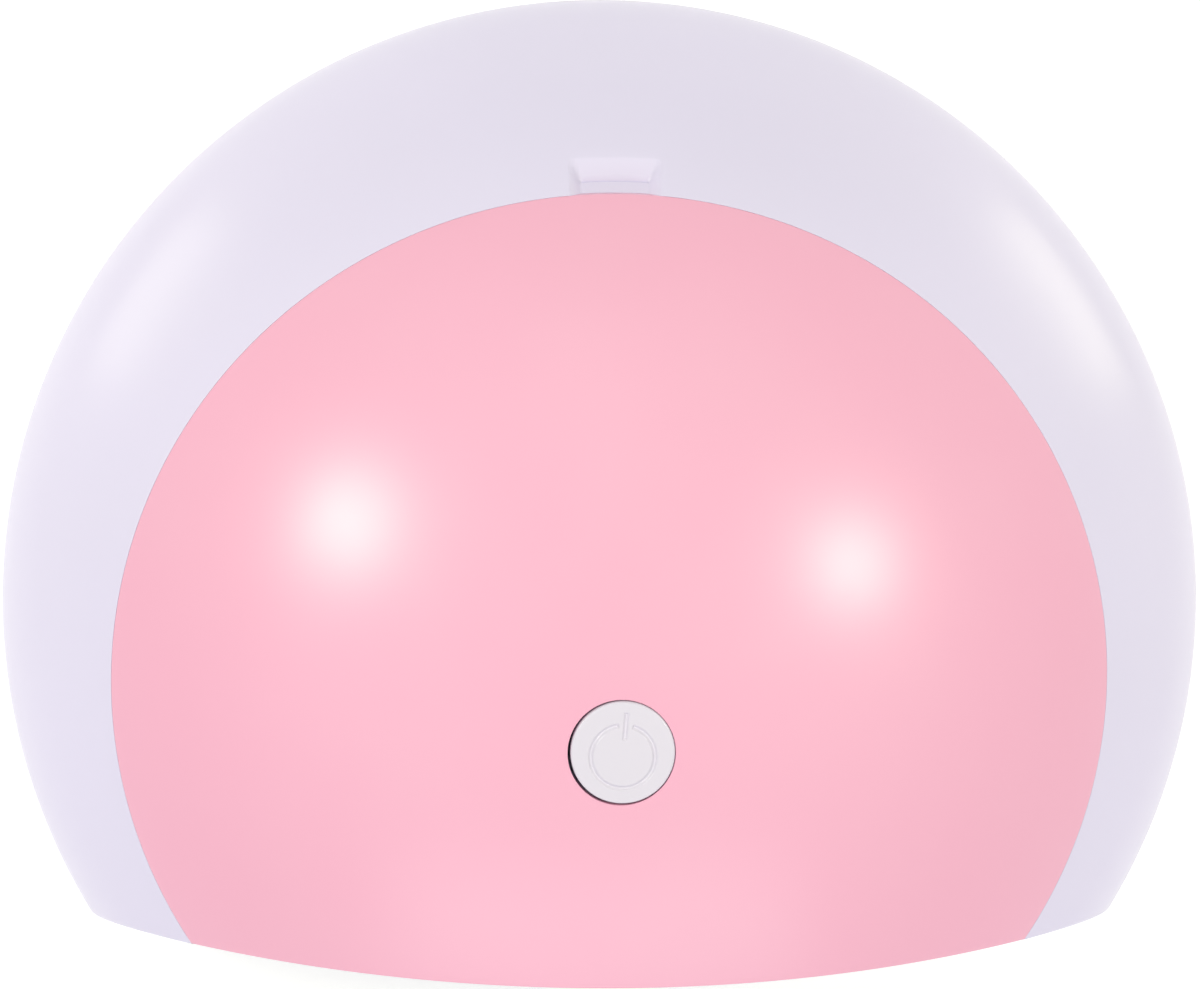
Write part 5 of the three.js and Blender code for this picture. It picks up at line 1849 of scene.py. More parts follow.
@dataclass
class Tray:
    """The base tray: a thin plate with a raised pad in the hand opening, a foil sheet on it and four feet."""

    form: DomeForm
    opening: HandOpening
    inset: float = 0.0016
    pad_gap: float = 0.001
    foil_inset: float = 0.002
    foot_fit: float = 0.0003
    magnet_fit: float = 0.00015
    edge: float = 0.0005
    pad_foot: float = 0.0003
    pad_corner: float = 0.0009
    foil_corner: float = 0.0022
    foil_chamfer: float = 0.00008
    under_magnet: float = 0.0003
    recess_margin: float = 0.0006
    foot_rings: tuple[float, ...] = (0.0012, 0.0022, 0.0032)
    foot_ring_depth: float = 0.0003

    def __post_init__(self) -> None:
        """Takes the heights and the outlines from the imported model."""
        self.plan = Plan(self.form)
        self.low = corner("base_tray", 0)[2]
        self.radius, _, self.pad_top = corner("base_tray", 1)
        self.top = corner("tray_magnet_left", 1)[2]
        self.plate = self.plan.disc(self.radius, self.inset)
        pad_half_width = self.opening.half_width - self.pad_gap
        self.pad = self.plan.horseshoe(pad_half_width, self.inset + self.pad_gap, self.pad_corner)

    def build_plate(self, finishes: Finishes) -> None:
        """Makes the tray: rings of the two outlines, from the bottom's middle round to the top's."""
        plan, edge = self.plan, self.edge
        angles = plan.angles([self.plate, self.pad])
        plate, pad = plan.reach(self.plate, angles), plan.reach(self.pad, angles)
        out, up = (part[:, None] for part in quarter(4))
        side_reach = np.concatenate([plate - edge * out, plate - edge * up])
        side_height = np.concatenate([self.low + edge * up, self.top - edge * out])
        rise_reach = np.concatenate([pad + self.pad_foot * out, pad - edge * up])
        rise_height = np.concatenate([self.top + self.pad_foot * up, self.pad_top - edge * out])
        share = np.linspace(0.03, 1.0, 54)[:-1, None]
        across = np.linspace(0.0, 1.0, 13)[1:-1, None]
        bottom = plan.ring(side_reach[0] * share, angles, self.low)
        side = plan.ring(side_reach, angles, side_height)
        step = plan.ring(side_reach[-1] * (1 - across) + rise_reach[0] * across, angles, self.top)
        rise = plan.ring(rise_reach, angles, rise_height)
        top = plan.ring(rise_reach[-1] * share[::-3], angles, self.pad_top)
        mesh = Mesh()
        rows = [mesh.add_points(part) for part in (bottom, side, step, rise, top)]
        feet = [f"foot_{i}" for i in range(1, 5)]
        self.recesses(mesh, np.concatenate([rows[0], rows[1][:1]]), np.concatenate([bottom, side[:1]]), feet,
                      self.foot_fit, corner("foot_1", 1)[2] + self.foot_fit)
        low = corner("tray_magnet_left", 0)[2] - self.under_magnet
        self.recesses(mesh, np.concatenate([rows[1][-1:], rows[2], rows[3][:1]]),
                      np.concatenate([side[-1:], step, rise[:1]]), ["tray_magnet_left", "tray_magnet_right"],
                      self.magnet_fit, low)
        mesh.add_grid(rows[1], around=True)
        mesh.add_grid(rows[3], around=True)
        mesh.add_grid(np.concatenate([rows[3][-1:], rows[4]]), around=True)
        mesh.add_cap(rows[4][-1], plan.centre(self.pad_top))
        mesh.add_cap(rows[0][0][::-1], plan.centre(self.low))
        make_piece("tray_plate", mesh, finishes.tray, Body.BASE, "base_tray", sharp=40.0)

    def recesses(self, mesh: Mesh, index: Array, points: Array, nodes: list[str], fit: float,
                 floor: float) -> None:
        """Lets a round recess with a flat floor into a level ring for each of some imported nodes.

        Args:
            mesh: the tray under construction.
            index: the ring's point numbers.
            points: its points.
            nodes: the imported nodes, all of one size.
            fit: the room round each.
            floor: the floor's height.
        """
        radius = half_size(nodes[0])[0] + fit
        holes = [round_hole(middle(node)[:2], radius, radius + self.recess_margin) for node in nodes]
        flat, height = wrapped(points)[..., :2], points[0, 0, 2]
        rims = pierce(mesh, wrapped(index), flat, holes, lambda spots: level(spots, height))
        for hole, (rim, ring) in zip(holes, rims):
            row = mesh.add_points(level(ring, floor))
            mesh.add_strip(rim, row)
            mesh.add_cap(row, (*hole.centre, floor))

    def build_foil(self, finishes: Finishes) -> None:
        """Makes the foil: a thin sheet with the pad's outline, its corners rounded."""
        plan = self.plan
        low, high = corner("tray_foil", 0)[2], corner("tray_foil", 1)[2]
        setback = self.inset + self.pad_gap + self.foil_inset
        outline = plan.horseshoe(corner("tray_foil", 1)[0], setback, self.foil_corner)
        angles = plan.angles([outline])
        reach = plan.reach(outline, angles)
        share = np.array([0.02, 0.2, 0.4, 0.6, 0.8, 0.95, 1.0])[:, None]
        inside = self.foil_chamfer
        mesh = Mesh()
        under = plan.ring(reach * share, angles, low)
        edge = plan.ring(reach, angles, high - inside)[None]
        rim = plan.ring(reach - inside, angles, high)[None]
        over = plan.ring(reach * share[-2::-1], angles, high)
        index = mesh.add_points(np.concatenate([under, edge, rim, over]))
        mesh.add_grid(index, around=True)
        mesh.add_cap(index[-1], plan.centre(high))
        mesh.add_cap(index[0][::-1], plan.centre(low))
        make_piece("tray_foil_sheet", mesh, finishes.foil, Body.BASE, "tray_foil")

    def build_feet(self, finishes: Finishes) -> None:
        """Makes the feet: round pads with a rolled edge and rings moulded into what they stand on."""
        radius, _, half_height = half_size("foot_1")
        depth = self.foot_ring_depth
        ridge = [(0.0, 0.0, 0.0)]
        for inner in self.foot_rings:
            ridge += [(inner, 0.0, 0.0001), (inner + depth / 2, depth, 0.0001),
                      (inner + 1.5 * depth, depth, 0.0001), (inner + 2 * depth, 0.0, 0.0001)]
        ridge += [(radius, 0.0, 0.0004), (radius, 2 * half_height, 0.0003), (0.0, 2 * half_height, 0.0)]
        for i in range(1, 5):
            place = middle(f"foot_{i}") - [0.0, 0.0, half_height]
            pad = spun(rounded_profile(ridge, 3), 56, place)
            make_piece(f"foot_pad_{i}", pad, finishes.rubber, Body.BASE, f"foot_{i}")

    def build(self, finishes: Finishes) -> None:
        """Makes the tray, the foil and the feet."""
        self.build_plate(finishes)
        self.build_foil(finishes)
        self.build_feet(finishes)


@dataclass
class BaseFrame:
    """The horseshoe plate that closes the housing round the hand opening, with its screw and magnet seats."""

    form: DomeForm
    opening: HandOpening
    setback: float = 0.0023
    thickness: float = 0.0026
    seat: float = 0.0017
    edge: float = 0.0004
    head_fit: float = 0.0003
    shank: float = 0.00145
    magnet_fit: float = 0.00015
    over_magnet: float = 0.0003
    hole_margin: float = 0.0006
    columns: int = 240
    across: int = 15

    def lines(self) -> tuple[Array, Array]:
        """Walks along the mouth and along the shell, from the right front round the back to the left.

        Returns:
            The inner and the outer line, in plan.
        """
        form = self.form
        radius = corner("base_frame", 1)[0]
        mouth = self.opening.half_width
        front = float(form.front_line(np.array(mouth), self.setback))
        cut = float(form.cut_angle(np.array(radius), self.setback))
        leg = np.linspace(0.0, 1.0, self.columns // 4)[:-1]
        back = np.linspace(0.0, HALF_TURN, self.columns // 2)
        axis = np.array([0.0, form.axis_y])
        inner = np.stack([np.full_like(leg, mouth), form.axis_y - (form.axis_y - front) * (1 - leg)], axis=-1)
        outer = axis + polar(radius, cut * (1 - leg))
        return tuple(np.concatenate([side, axis + polar(size, back), side[::-1] * MIRROR[:2]])
                     for side, size in ((inner, mouth), (outer, radius)))

    def build(self, finishes: Finishes) -> None:
        """Makes the frame: a closed section swept round the horseshoe, between its mouth and the shell."""
        low = corner("base_frame", 0)[2]
        top = low + self.thickness
        inner, outer = self.lines()
        curl = self.edge * np.stack(quarter(3), axis=-1)
        section = [(0.0, shift, low + rise) for shift, rise in curl[::-1]]
        section += [(share, 0.0, low) for share in np.linspace(0.0, 1.0, self.across)[1:-1]]
        section += [(1.0, -shift, low + rise) for shift, rise in curl]
        count = len(section)
        section += [(share, shift, low + top - height) for share, shift, height in section[::-1]]
        share, shift, height = np.array(section).T[..., None, None]
        flat = inner + (outer - inner) * share + unit(outer - inner) * shift
        mesh = Mesh()
        index = mesh.add_points(level(flat, height[..., 0]))
        screws = [middle(f"housing_screw_{i}")[:2] for i in range(1, 5)]
        magnets = [middle(f"frame_magnet_{side}")[:2] for side in ("left", "right")]
        head = half_size("housing_screw_1")[0] + self.head_fit
        magnet = half_size("frame_magnet_left")[0] + self.magnet_fit
        margin = magnet + self.hole_margin
        wide = [round_hole(place, head, margin) for place in screws]
        wide += [round_hole(place, magnet, margin) for place in magnets]
        narrow = [round_hole(place, self.shank, margin) for place in screws]
        seat, pocket = low + self.seat, corner("frame_magnet_left", 1)[2] + self.over_magnet
        low_rims = pierce(mesh, index[:count], flat[:count], wide, lambda spots: level(spots, low))
        upper = Mesh(points=mesh.points, count=mesh.count)
        top_rims = pierce(upper, index[count:][::-1], flat[:count], narrow, lambda spots: level(spots, top))
        mesh.quads += upper.flipped().quads
        mesh.count = upper.count
        mesh.add_strip(index[count - 1], index[count], around=False)
        mesh.add_strip(index[-1], index[0], around=False)
        for (low_rim, ring), (top_rim, small) in zip(low_rims, top_rims):
            rows = [low_rim, mesh.add_points(level(ring, seat)), mesh.add_points(level(small, seat)), top_rim]
            mesh.add_grid(np.stack(rows), around=True)
        for hole, (rim, ring) in zip(wide[4:], low_rims[4:]):
            row = mesh.add_points(level(ring, pocket))
            mesh.add_strip(rim, row)
            mesh.add_cap(row, (*hole.centre, pocket))
        cap_loops(mesh, index)
        make_piece("base_frame_plate", mesh, finishes.frame, Body.LAMP, "base_frame", sharp=40.0)


@dataclass
class Liner:
    """The bright vault of the hand opening, with holes for the lamps and the hand sensor.

    The arch's half curve gives a height for every half width. Outside the lid it is carried
    along a horseshoe. The lid is a grid whose back half square is drawn into a half disc.
    """

    form: DomeForm
    opening: HandOpening
    setback: float = 0.0023
    wall: float = 0.0014
    lid: float = 0.030
    lamp_hole: float = 0.003
    lamp_margin: float = 0.0038
    sensor_hole: float = 0.0018
    sensor_margin: float = 0.0026
    flange_reach: float = 0.0588
    flange_height: float = 0.0012
    straight: int = 44
    back: int = 30
    rise: int = 40
    apart: float = 10.0

    def height(self, width: Array, outset: float) -> Array:
        """Gives the vault's height over a half width: z0 + b (1 - (w/a)^n)^(1/n).

        Args:
            width: half widths.
            outset: how far outside the hand opening.

        Returns:
            Heights.
        """
        opening, power = self.opening, self.opening.squareness
        share = np.clip(width / (opening.half_width + outset), 0.0, 1.0) ** power
        return opening.spring + (opening.top - opening.spring + outset) * (1.0 - share) ** (1.0 / power)

    def path(self) -> tuple[Array, Array]:
        """Sets out the horseshoe's columns, from the right front round the back to the left.

        Returns:
            For each column the angle round the back, and the share of the way to the front.
        """
        ahead = 1.0 - np.linspace(0.0, 1.0, self.straight)[:-1]
        side = np.arcsin(np.linspace(0.0, 1.0, self.back) / math.sqrt(2.0))
        over = np.arccos(np.linspace(1.0, -1.0, 2 * self.back)[1:-1] / math.sqrt(2.0))
        angle = np.concatenate([0.0 * ahead, side, over, HALF_TURN - side[::-1], HALF_TURN + 0.0 * ahead])
        share = np.concatenate([ahead, np.zeros(2 * self.back + len(over)), ahead[::-1]])
        return angle, share

    def front(self, width: Array) -> Array:
        """Gives the distance of the vault's front edge from the dome's axis."""
        return self.form.axis_y - self.form.front_line(width, self.setback)

    def along(self, width: Array, height: Array) -> Array:
        """Carries half widths and heights along the horseshoe.

        Args:
            width: a column of half widths.
            height: a column of heights.

        Returns:
            A row of points for each.
        """
        angle, share = self.path()
        y = self.form.axis_y + width * np.sin(angle) - self.front(width) * share
        return stack(width * np.cos(angle), y, height)

    def layer(self, outset: float) -> tuple[Array, Array]:
        """Works out one face of the vault.

        Args:
            outset: how far outside the hand opening.

        Returns:
            The carried part, rows from the foot up, and the lid, rows from the front back.
        """
        opening = self.opening
        t = np.linspace(0.0, 1.0, self.rise) ** 1.3
        edge = opening.half_width + outset
        lid_angle = math.acos((self.lid / edge) ** (opening.squareness / 2.0))
        across, _ = opening.curve(t * lid_angle, outset)
        across[-1] = self.lid
        width = across[:, None]
        sides = self.along(width, self.height(width, outset))
        xi = np.linspace(-1.0, 1.0, 2 * self.back)
        ahead = 1.0 - np.linspace(0.0, 1.0, self.straight)[:-1, None]
        x = np.broadcast_to(xi * self.lid, (len(ahead), len(xi)))
        y = self.form.axis_y - self.front(x) * ahead
        eta = np.linspace(0.0, 1.0, self.back)[:, None]
        disc_x = self.lid * xi * np.sqrt(1.0 - eta**2 / 2.0)
        disc_y = self.lid * eta * np.sqrt(1.0 - xi**2 / 2.0)
        plan = stack(np.concatenate([x, disc_x]), np.concatenate([y, self.form.axis_y + disc_y]), 0.0)
        plan[..., 2] = self.height(np.concatenate([np.abs(x), np.hypot(disc_x, disc_y)]), outset)
        return sides, plan

    def face(self, outset: float, guide: tuple[Array, Array]) -> tuple[Array, Array]:
        """Joins one face's grids and lets its holes in.

        In the sides' flat coordinates, y and z, the left side stands higher by the distance apart.

        Args:
            outset: how far outside the hand opening.
            guide: the inner face's grids, which say what cells the holes take out.

        Returns:
            The face's points and quads.
        """
        form, opening = self.form, self.opening
        sides, lid = self.layer(outset)
        mesh = Mesh()
        side_index, lid_index = mesh.add_points(sides), mesh.add_points(lid)
        ceiling = [round_hole(middle(f"ceiling_led_{i}")[:2], self.lamp_hole, self.lamp_margin)
                   for i in range(1, 7)]
        ceiling += [round_hole(middle(f"hand_sensor_{kind}")[:2], self.sensor_hole, self.sensor_margin)
                    for kind in ("emitter", "receiver")]

        def lift_lid(flat: Array) -> Array:
            """Finds the height over a place in plan."""
            x, y = flat[..., 0], flat[..., 1] - form.axis_y
            return level(flat, self.height(np.where(y > 0.0, np.hypot(x, y), np.abs(x)), outset))

        def lift_side(flat: Array) -> Array:
            """Finds the half width a (1 - ((z - z0)/b)^n)^(1/n), then x beside the middle plane.

            Args:
                flat: y and z, the left side's z raised.

            Returns:
                Points.
            """
            left = flat[..., 1] > self.apart / 2
            y, z = flat[..., 0], flat[..., 1] - self.apart * left
            share = np.clip((z - opening.spring) / (opening.top - opening.spring + outset), 0.0, 1.0)
            power = opening.squareness
            width = (opening.half_width + outset) * (1 - share**power) ** (1 / power)
            behind = np.maximum(y - form.axis_y, 0.0)
            return stack(np.where(left, -1.0, 1.0) * np.sqrt(width**2 - behind**2), y, z)

        pierce(mesh, lid_index, guide[1][..., :2], ceiling, lift_lid)
        flat = guide[0][..., 1:] + stack(0.0, self.apart * (guide[0][..., 0] < 0.0), 0.0)[..., :2]
        spots = [middle(f"left_led_{i}")[1:] + [0.0, self.apart] for i in range(1, 4)]
        spots += [middle(f"right_led_{i}")[1:] for i in range(1, 4)]
        lamps = [round_hole(spot, self.lamp_hole, self.lamp_margin) for spot in spots]
        pierce(mesh, side_index, flat, lamps, lift_side)
        edge = np.concatenate([lid_index[:, -1], lid_index[-1, -2:0:-1], lid_index[::-1, 0]])
        mesh.add_strip(side_index[-1], edge, around=False)
        return mesh.arrays()

    def build(self, finishes: Finishes) -> None:
        """Makes the liner: its two faces closed into a wall, with the foot's flange outside it."""
        guide = self.layer(0.0)
        inner, quads = self.face(0.0, guide)
        mesh = thickened(self.face(self.wall, guide)[0], inner, quads)
        low = self.opening.spring
        high = low + self.flange_height
        near, far = self.opening.half_width + self.wall * 0.5, self.flange_reach
        loop = np.array([(near, low), (far, low), (far, high), (near, high)])
        index = mesh.add_points(self.along(loop[:, :1], loop[:, 1:]))
        mesh.add_grid(np.concatenate([index, index[:1]]))
        cap_loops(mesh, index)
        make_piece("liner_vault", mesh, finishes.reflector, Body.LAMP, "inner_reflector", sharp=40.0)


def axis_turn(way: Array) -> Array:
    """Gives the rotation that takes +Z to a direction.

    Args:
        way: the direction.

    Returns:
        A rotation matrix.
    """
    z = unit(np.asarray(way, float))
    helper = np.array([0.0, 1.0, 0.0]) if abs(z[1]) < 0.9 else np.array([1.0, 0.0, 0.0])
    x = unit(np.cross(helper, z))
    return np.stack([x, np.cross(z, x), z], axis=1)


@dataclass
class Lamps:
    """The round LEDs and the hand sensor's two domes, each spun from its own profile."""

    steps: int = 40
    slimmer: float = 0.79
    base_share: float = 0.4
    groove: float = 0.00018
    sensor_flange: float = 0.0008

    def dome(self, radius: float, foot: float, rise: float) -> Array:
        """Gives a dome's profile: (r cos a, foot + rise sin a)."""
        angle = np.linspace(0.0, QUARTER_TURN, 12)
        return polar(1.0, angle) * [radius, rise] + [0.0, foot]

    def lens(self, radius: float, height: float) -> Array:
        """Gives an LED's profile: a rimmed base, a groove and a rounded lens that rises from it.

        Args:
            radius: its base's radius.
            height: its height.

        Returns:
            Rows of radius and height.
        """
        base = self.base_share * height
        inside = self.slimmer * radius
        groove = base - self.groove
        foot = rounded_profile([
            (0.0, 0.0, 0.0), (radius, 0.0, 0.00012), (radius, base, 0.00015), (0.9 * radius, base, 0.00008),
            (0.86 * radius, groove, 0.00005), (inside, groove, 0.0)], 3)
        return np.concatenate([foot, self.dome(inside, base, height - base)])

    def sensor(self, radius: float, height: float) -> Array:
        """Gives a sensor's profile: a flange, a straight barrel and a domed tip.

        Args:
            radius: its flange's radius.
            height: its height.

        Returns:
            Rows of radius and height.
        """
        barrel, top = self.slimmer * radius, self.sensor_flange
        foot = rounded_profile([(0.0, 0.0, 0.0), (radius, 0.0, 0.0001), (radius, top, 0.00012),
                                (barrel, top, 0.0001), (barrel, 1.25 * top, 0.0)], 3)
        return np.concatenate([foot, self.dome(barrel, height - barrel, barrel)])

    def put(self, node: str, name: str, profile: Callable[[float, float], Array], way: tuple[int, int, int],
            finish: Finish) -> None:
        """Spins one lamp or sensor and stands it on its board, facing a way.

        Args:
            node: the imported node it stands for.
            name: the piece's name.
            profile: its profile from a radius and a height.
            way: where it faces.
            finish: its finish.
        """
        facing = np.array(way)
        half = half_size(node)
        height = 2 * float(np.abs(half @ facing))
        radius = float(np.delete(half, int(np.argmax(np.abs(facing)))).max())
        mesh = spun(profile(radius, height), self.steps)
        mesh.carried(axis_turn(facing), middle(node) - facing * height / 2)
        make_piece(name, mesh, finish, Body.LAMP, node, sharp=35.0)

    def build(self, finishes: Finishes) -> None:
        """Makes the twelve LEDs and the two sensor domes."""
        down = (0, 0, -1)
        for i in range(1, 7):
            self.put(f"ceiling_led_{i}", f"ceiling_lamp_{i}", self.lens, down, finishes.led)
        for side in Side:
            name = side.name.lower()
            for i in range(1, 4):
                self.put(f"{name}_led_{i}", f"{name}_lamp_{i}", self.lens, (-side.value, 0, 0), finishes.led)
        self.put("hand_sensor_emitter", "sensor_dome_emitter", self.sensor, down, finishes.led)
        self.put("hand_sensor_receiver", "sensor_dome_receiver", self.sensor, down, finishes.dark_lens)


@dataclass(frozen=True)
class ScrewSize:
    """A screw's head radius and height, its shank's radius and its whole length."""

    head: float
    height: float
    shank: float
    length: float


@dataclass
class Fixings:
    """Screws with a cross pressed into a domed head, and the round magnets.

    The cross's sizes are those of the housing's screws, and the others' follow their heads.
    """

    housing: ScrewSize = ScrewSize(0.0025, 0.0014, 0.00115, 0.01)
    board: ScrewSize = ScrewSize(0.0019, 0.0012, 0.00085, 0.004)
    cross_half: float = 0.0011
    cross_width: float = 0.00032
    cross_depth: float = 0.0006
    cross_slope: float = 0.00012
    dome: float = 0.22
    turns: int = 14
    thread_root: float = 0.86
    thread_start: float = 0.0004
    collar: float = 1.15

    def head_depth(self, x: Array, y: Array, size: ScrewSize) -> Array:
        """Gives the head's top: a dome h (r/R)^2.4 deep at its edge, and the cross's tapered slots.

        Args:
            x: places across.
            y: places along.
            size: the screw's sizes.

        Returns:
            Depths below the crown of the head.
        """
        dome = size.height * self.dome * (np.hypot(x, y) / size.head) ** 2.4
        scale = size.head / self.housing.head
        x, y = np.abs(x) / scale, np.abs(y) / scale
        slots = np.minimum(np.maximum(x - self.cross_half, y - self.cross_width),
                           np.maximum(y - self.cross_half, x - self.cross_width))
        return dome + self.cross_depth * scale * (1.0 - smoothstep(-self.cross_slope, 0.0, slots))

    def screw(self, node: str, way: Array, size: ScrewSize, finishes: Finishes) -> None:
        """Makes one screw with its head at its foot and its tip along a way.

        Args:
            node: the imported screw.
            way: from the head to the tip.
            size: its sizes.
            finishes: the finishes.
        """
        radius, height, shank, length = size.head, size.height, size.shank, size.length
        low, high = corner(node, 0), corner(node, 1)
        way = unit(way)
        head_reach = radius * np.sqrt(np.maximum(1.0 - way**2, 0.0))
        start = np.where(way > 0.0, low + head_reach, np.where(way < 0.0, high - head_reach, middle(node)))
        angle = np.linspace(0.0, 2.0 * math.pi, 96, endpoint=False)
        reach = np.linspace(0.0, radius, 34)[1:, None]
        x, y = reach * np.cos(angle), reach * np.sin(angle)
        mesh = Mesh()
        top = mesh.add_points(stack(x, y, self.head_depth(x, y, size)))
        thread_low, thread_high = height + self.thread_start, length - shank
        pitch = (thread_high - thread_low) / self.turns
        ridge = [(shank * (self.thread_root if i % 2 else 1.0), thread_low + pitch * i, 0.0)
                 for i in range(self.turns)]
        profile = rounded_profile(
            [(radius, self.dome * height, 0.0), (radius, height, 0.0001),
             (shank * self.collar, height, 0.0001)] + ridge
            + [(shank, thread_high, 0.0), (shank / 2, length, 0.0001), (0.0001, length, 0.0)], 2)
        index = mesh.add_points(level(polar(profile[:, :1], angle), profile[:, 1:]))
        mesh.add_cap(top[0][::-1], (0.0, 0.0, self.cross_depth * radius / self.housing.head))
        mesh.add_grid(np.concatenate([top, index[1:]]), around=True)
        mesh.add_cap(index[-1], (0.0, 0.0, length))
        mesh.carried(axis_turn(way), start)
        make_piece(node.replace("screw", "screw_fixing"), mesh, finishes.steel, Body.LAMP, node, sharp=35.0)

    def magnet(self, node: str, body: Body, finishes: Finishes) -> None:
        """Makes one magnet: a disc with chamfered edges.

        Args:
            node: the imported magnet.
            body: what it rides on.
            finishes: the finishes.
        """
        radius, _, half_height = half_size(node)
        top = 2 * half_height
        loop = [(0.0, 0.0, 0.0), (radius, 0.0, 0.0002), (radius, top, 0.0002), (0.0, top, 0.0)]
        disc = spun(rounded_profile(loop, 3), 48, middle(node) - [0.0, 0.0, half_height])
        make_piece(f"{node}_disc", disc, finishes.magnet, body, node)

    def build(self, form: DomeForm, finishes: Finishes) -> None:
        """Makes every screw and magnet.

        Args:
            form: the dome.
            finishes: the finishes.
        """
        up = np.array([0.0, 0.0, 1.0])
        leaned_up = np.array([0.0, -math.sin(form.lean), math.cos(form.lean)])
        for i in range(1, 5):
            self.screw(f"housing_screw_{i}", up, self.housing, finishes)
            self.screw(f"led_board_screw_{i}", -up, self.board, finishes)
        for i in (1, 2):
            self.screw(f"control_board_screw_{i}", leaned_up, self.board, finishes)
            self.screw(f"power_board_screw_{i}", -up, self.board, finishes)
        for side in ("left", "right"):
            self.magnet(f"frame_magnet_{side}", Body.LAMP, finishes)
            self.magnet(f"tray_magnet_{side}", Body.BASE, finishes)


@dataclass
class PowerInlet:
    """The socket at the rear: a pressed sleeve with a rolled mouth, and the tongue with its contacts."""

    wall: float = 0.0003
    contacts: int = 6
    contact_height: float = 0.00006
    tongue_half_width: float = 0.0033
    tongue_half_height: float = 0.00035
    insulator: float = 0.0025
    steps: int = 72

    def oval(self, angle: Array, half_width: float, half_height: float, quick: float) -> Array:
        """Gives a flat oval whose half-round ends the angles pass at more or less speed."""
        straight = (half_width - half_height) * np.clip(np.cos(angle) * quick, -1.0, 1.0)
        return np.stack([half_height * np.cos(angle) + straight, half_height * np.sin(angle)], axis=-1)

    def rings(self, node: str, rows: list[tuple[Array, float]]) -> Array:
        """Puts flat rings at their places along Y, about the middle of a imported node."""
        x, _, z = middle(node)
        return np.stack([stack(x + ring[:, 0], y, z + ring[:, 1]) for ring, y in rows])

    def sleeve(self, finishes: Finishes) -> None:
        """Makes the sleeve: a closed section with a rolled mouth, carried round the oval."""
        node = "usb_socket_shell"
        back, mouth = corner(node, 0)[1], corner(node, 1)[1]
        half = half_size(node)
        angle = np.linspace(0.0, 2.0 * math.pi, self.steps, endpoint=False)
        lip = polar(self.wall / 2, np.linspace(0.0, HALF_TURN, 7)) + [self.wall / 2, mouth - self.wall / 2]
        section = [(self.wall, back), *lip, (0.0, back)]
        rows = [(self.oval(angle, half[0] - inset, half[2] - inset, 4.0), y) for inset, y in section]
        mesh = Mesh()
        index = mesh.add_points(self.rings(node, rows))
        mesh.add_grid(np.concatenate([index, index[:1]]), around=True)
        make_piece("socket_sleeve", mesh, finishes.steel, Body.LAMP, node)

    def tongue(self, finishes: Finishes) -> None:
        """Makes the insulator: a flat oval block, then the tongue, whose faces rise at each contact."""
        node = "usb_socket_tongue"
        centre, half = middle(node), half_size(node)
        back, tip = corner(node, 0)[1], corner(node, 1)[1]
        step = back + self.insulator
        wide, thin = self.tongue_half_width, self.tongue_half_height
        x = np.linspace(-1.0, 1.0, 97)
        contact = np.abs(((x * 0.82 + 1.0) * self.contacts) % 2.0 - 1.0) < 0.5
        bumps = self.contact_height * contact * (np.abs(x) < 0.95)
        edge = np.sqrt(np.clip(1.0 - ((np.abs(x) - 0.94) / 0.06).clip(0.0) ** 2, 0.0, 1.0))
        top = np.stack([x * wide, (thin + bumps) * np.maximum(edge, 0.02)], axis=-1)
        loop = np.concatenate([top, top[::-1][1:-1] * [1.0, -1.0]])
        block = self.oval(np.arctan2(loop[:, 1] / thin, loop[:, 0] / wide), half[0], half[2], 3.0)
        rows = [(block * 0.98, back), (block, back + 0.0001), (block, step - 0.0001), (block * 0.98, step),
                (loop, step), (loop, tip - 0.0002), (loop * 0.97, tip)]
        mesh = Mesh()
        index = mesh.add_points(self.rings(node, rows))
        mesh.add_grid(index, around=True)
        mesh.add_cap(index[-1], (centre[0], tip, centre[2]))
        mesh.add_cap(index[0][::-1], (centre[0], back, centre[2]))
        make_piece("socket_tongue", mesh, finishes.black, Body.LAMP, node, sharp=35.0)

    def build(self, finishes: Finishes) -> None:
        """Makes the sleeve and the tongue."""
        self.sleeve(finishes)
        self.tongue(finishes)


@dataclass
class Electronics:
    """The boards and the parts on them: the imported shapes, merged and with their edges eased."""

    edge: float = 0.00015

    def eased(self, node: str, name: str, finish: Finish, body: Body = Body.LAMP) -> None:
        """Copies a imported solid, merges its corners and rounds its sharp edges.

        Args:
            node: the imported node.
            name: the piece's name.
            finish: its finish.
            body: what it rides on.
        """
        data = frame["nodes"][node].data.copy()
        data.name = name
        tidy = bmesh.new()
        tidy.from_mesh(data)
        bmesh.ops.remove_doubles(tidy, verts=tidy.verts, dist=1e-6)
        bmesh.ops.dissolve_limit(tidy, angle_limit=math.radians(1.0), verts=tidy.verts, edges=tidy.edges)
        bmesh.ops.recalc_face_normals(tidy, faces=tidy.faces)
        tidy.to_mesh(data)
        tidy.free()
        data.shade_smooth()
        bevel = enter(name, data, finish, body, node).modifiers.new("eased_edges", "BEVEL")
        bevel.width = self.edge
        bevel.segments = 2
        bevel.limit_method = "ANGLE"
        bevel.angle_limit = math.radians(40.0)
        bevel.use_clamp_overlap = True
        bevel.harden_normals = True

    def build(self, finishes: Finishes) -> None:
        """Makes the boards, the switch and the parts on the boards."""
        for node in ("ceiling_led_board", "left_led_board", "right_led_board"):
            self.eased(node, f"{node}_panel", finishes.lamp_board)
        for node in ("control_board", "power_board"):
            self.eased(node, f"{node}_panel", finishes.board)
        for node in ("switch_body", "controller_chip", "power_inductor"):
            self.eased(node, f"{node}_case", finishes.black)
        self.eased("switch_plunger", "switch_plunger_pin", finishes.black, Body.PLUNGER)
        self.eased("filter_capacitor", "filter_capacitor_can", finishes.can)


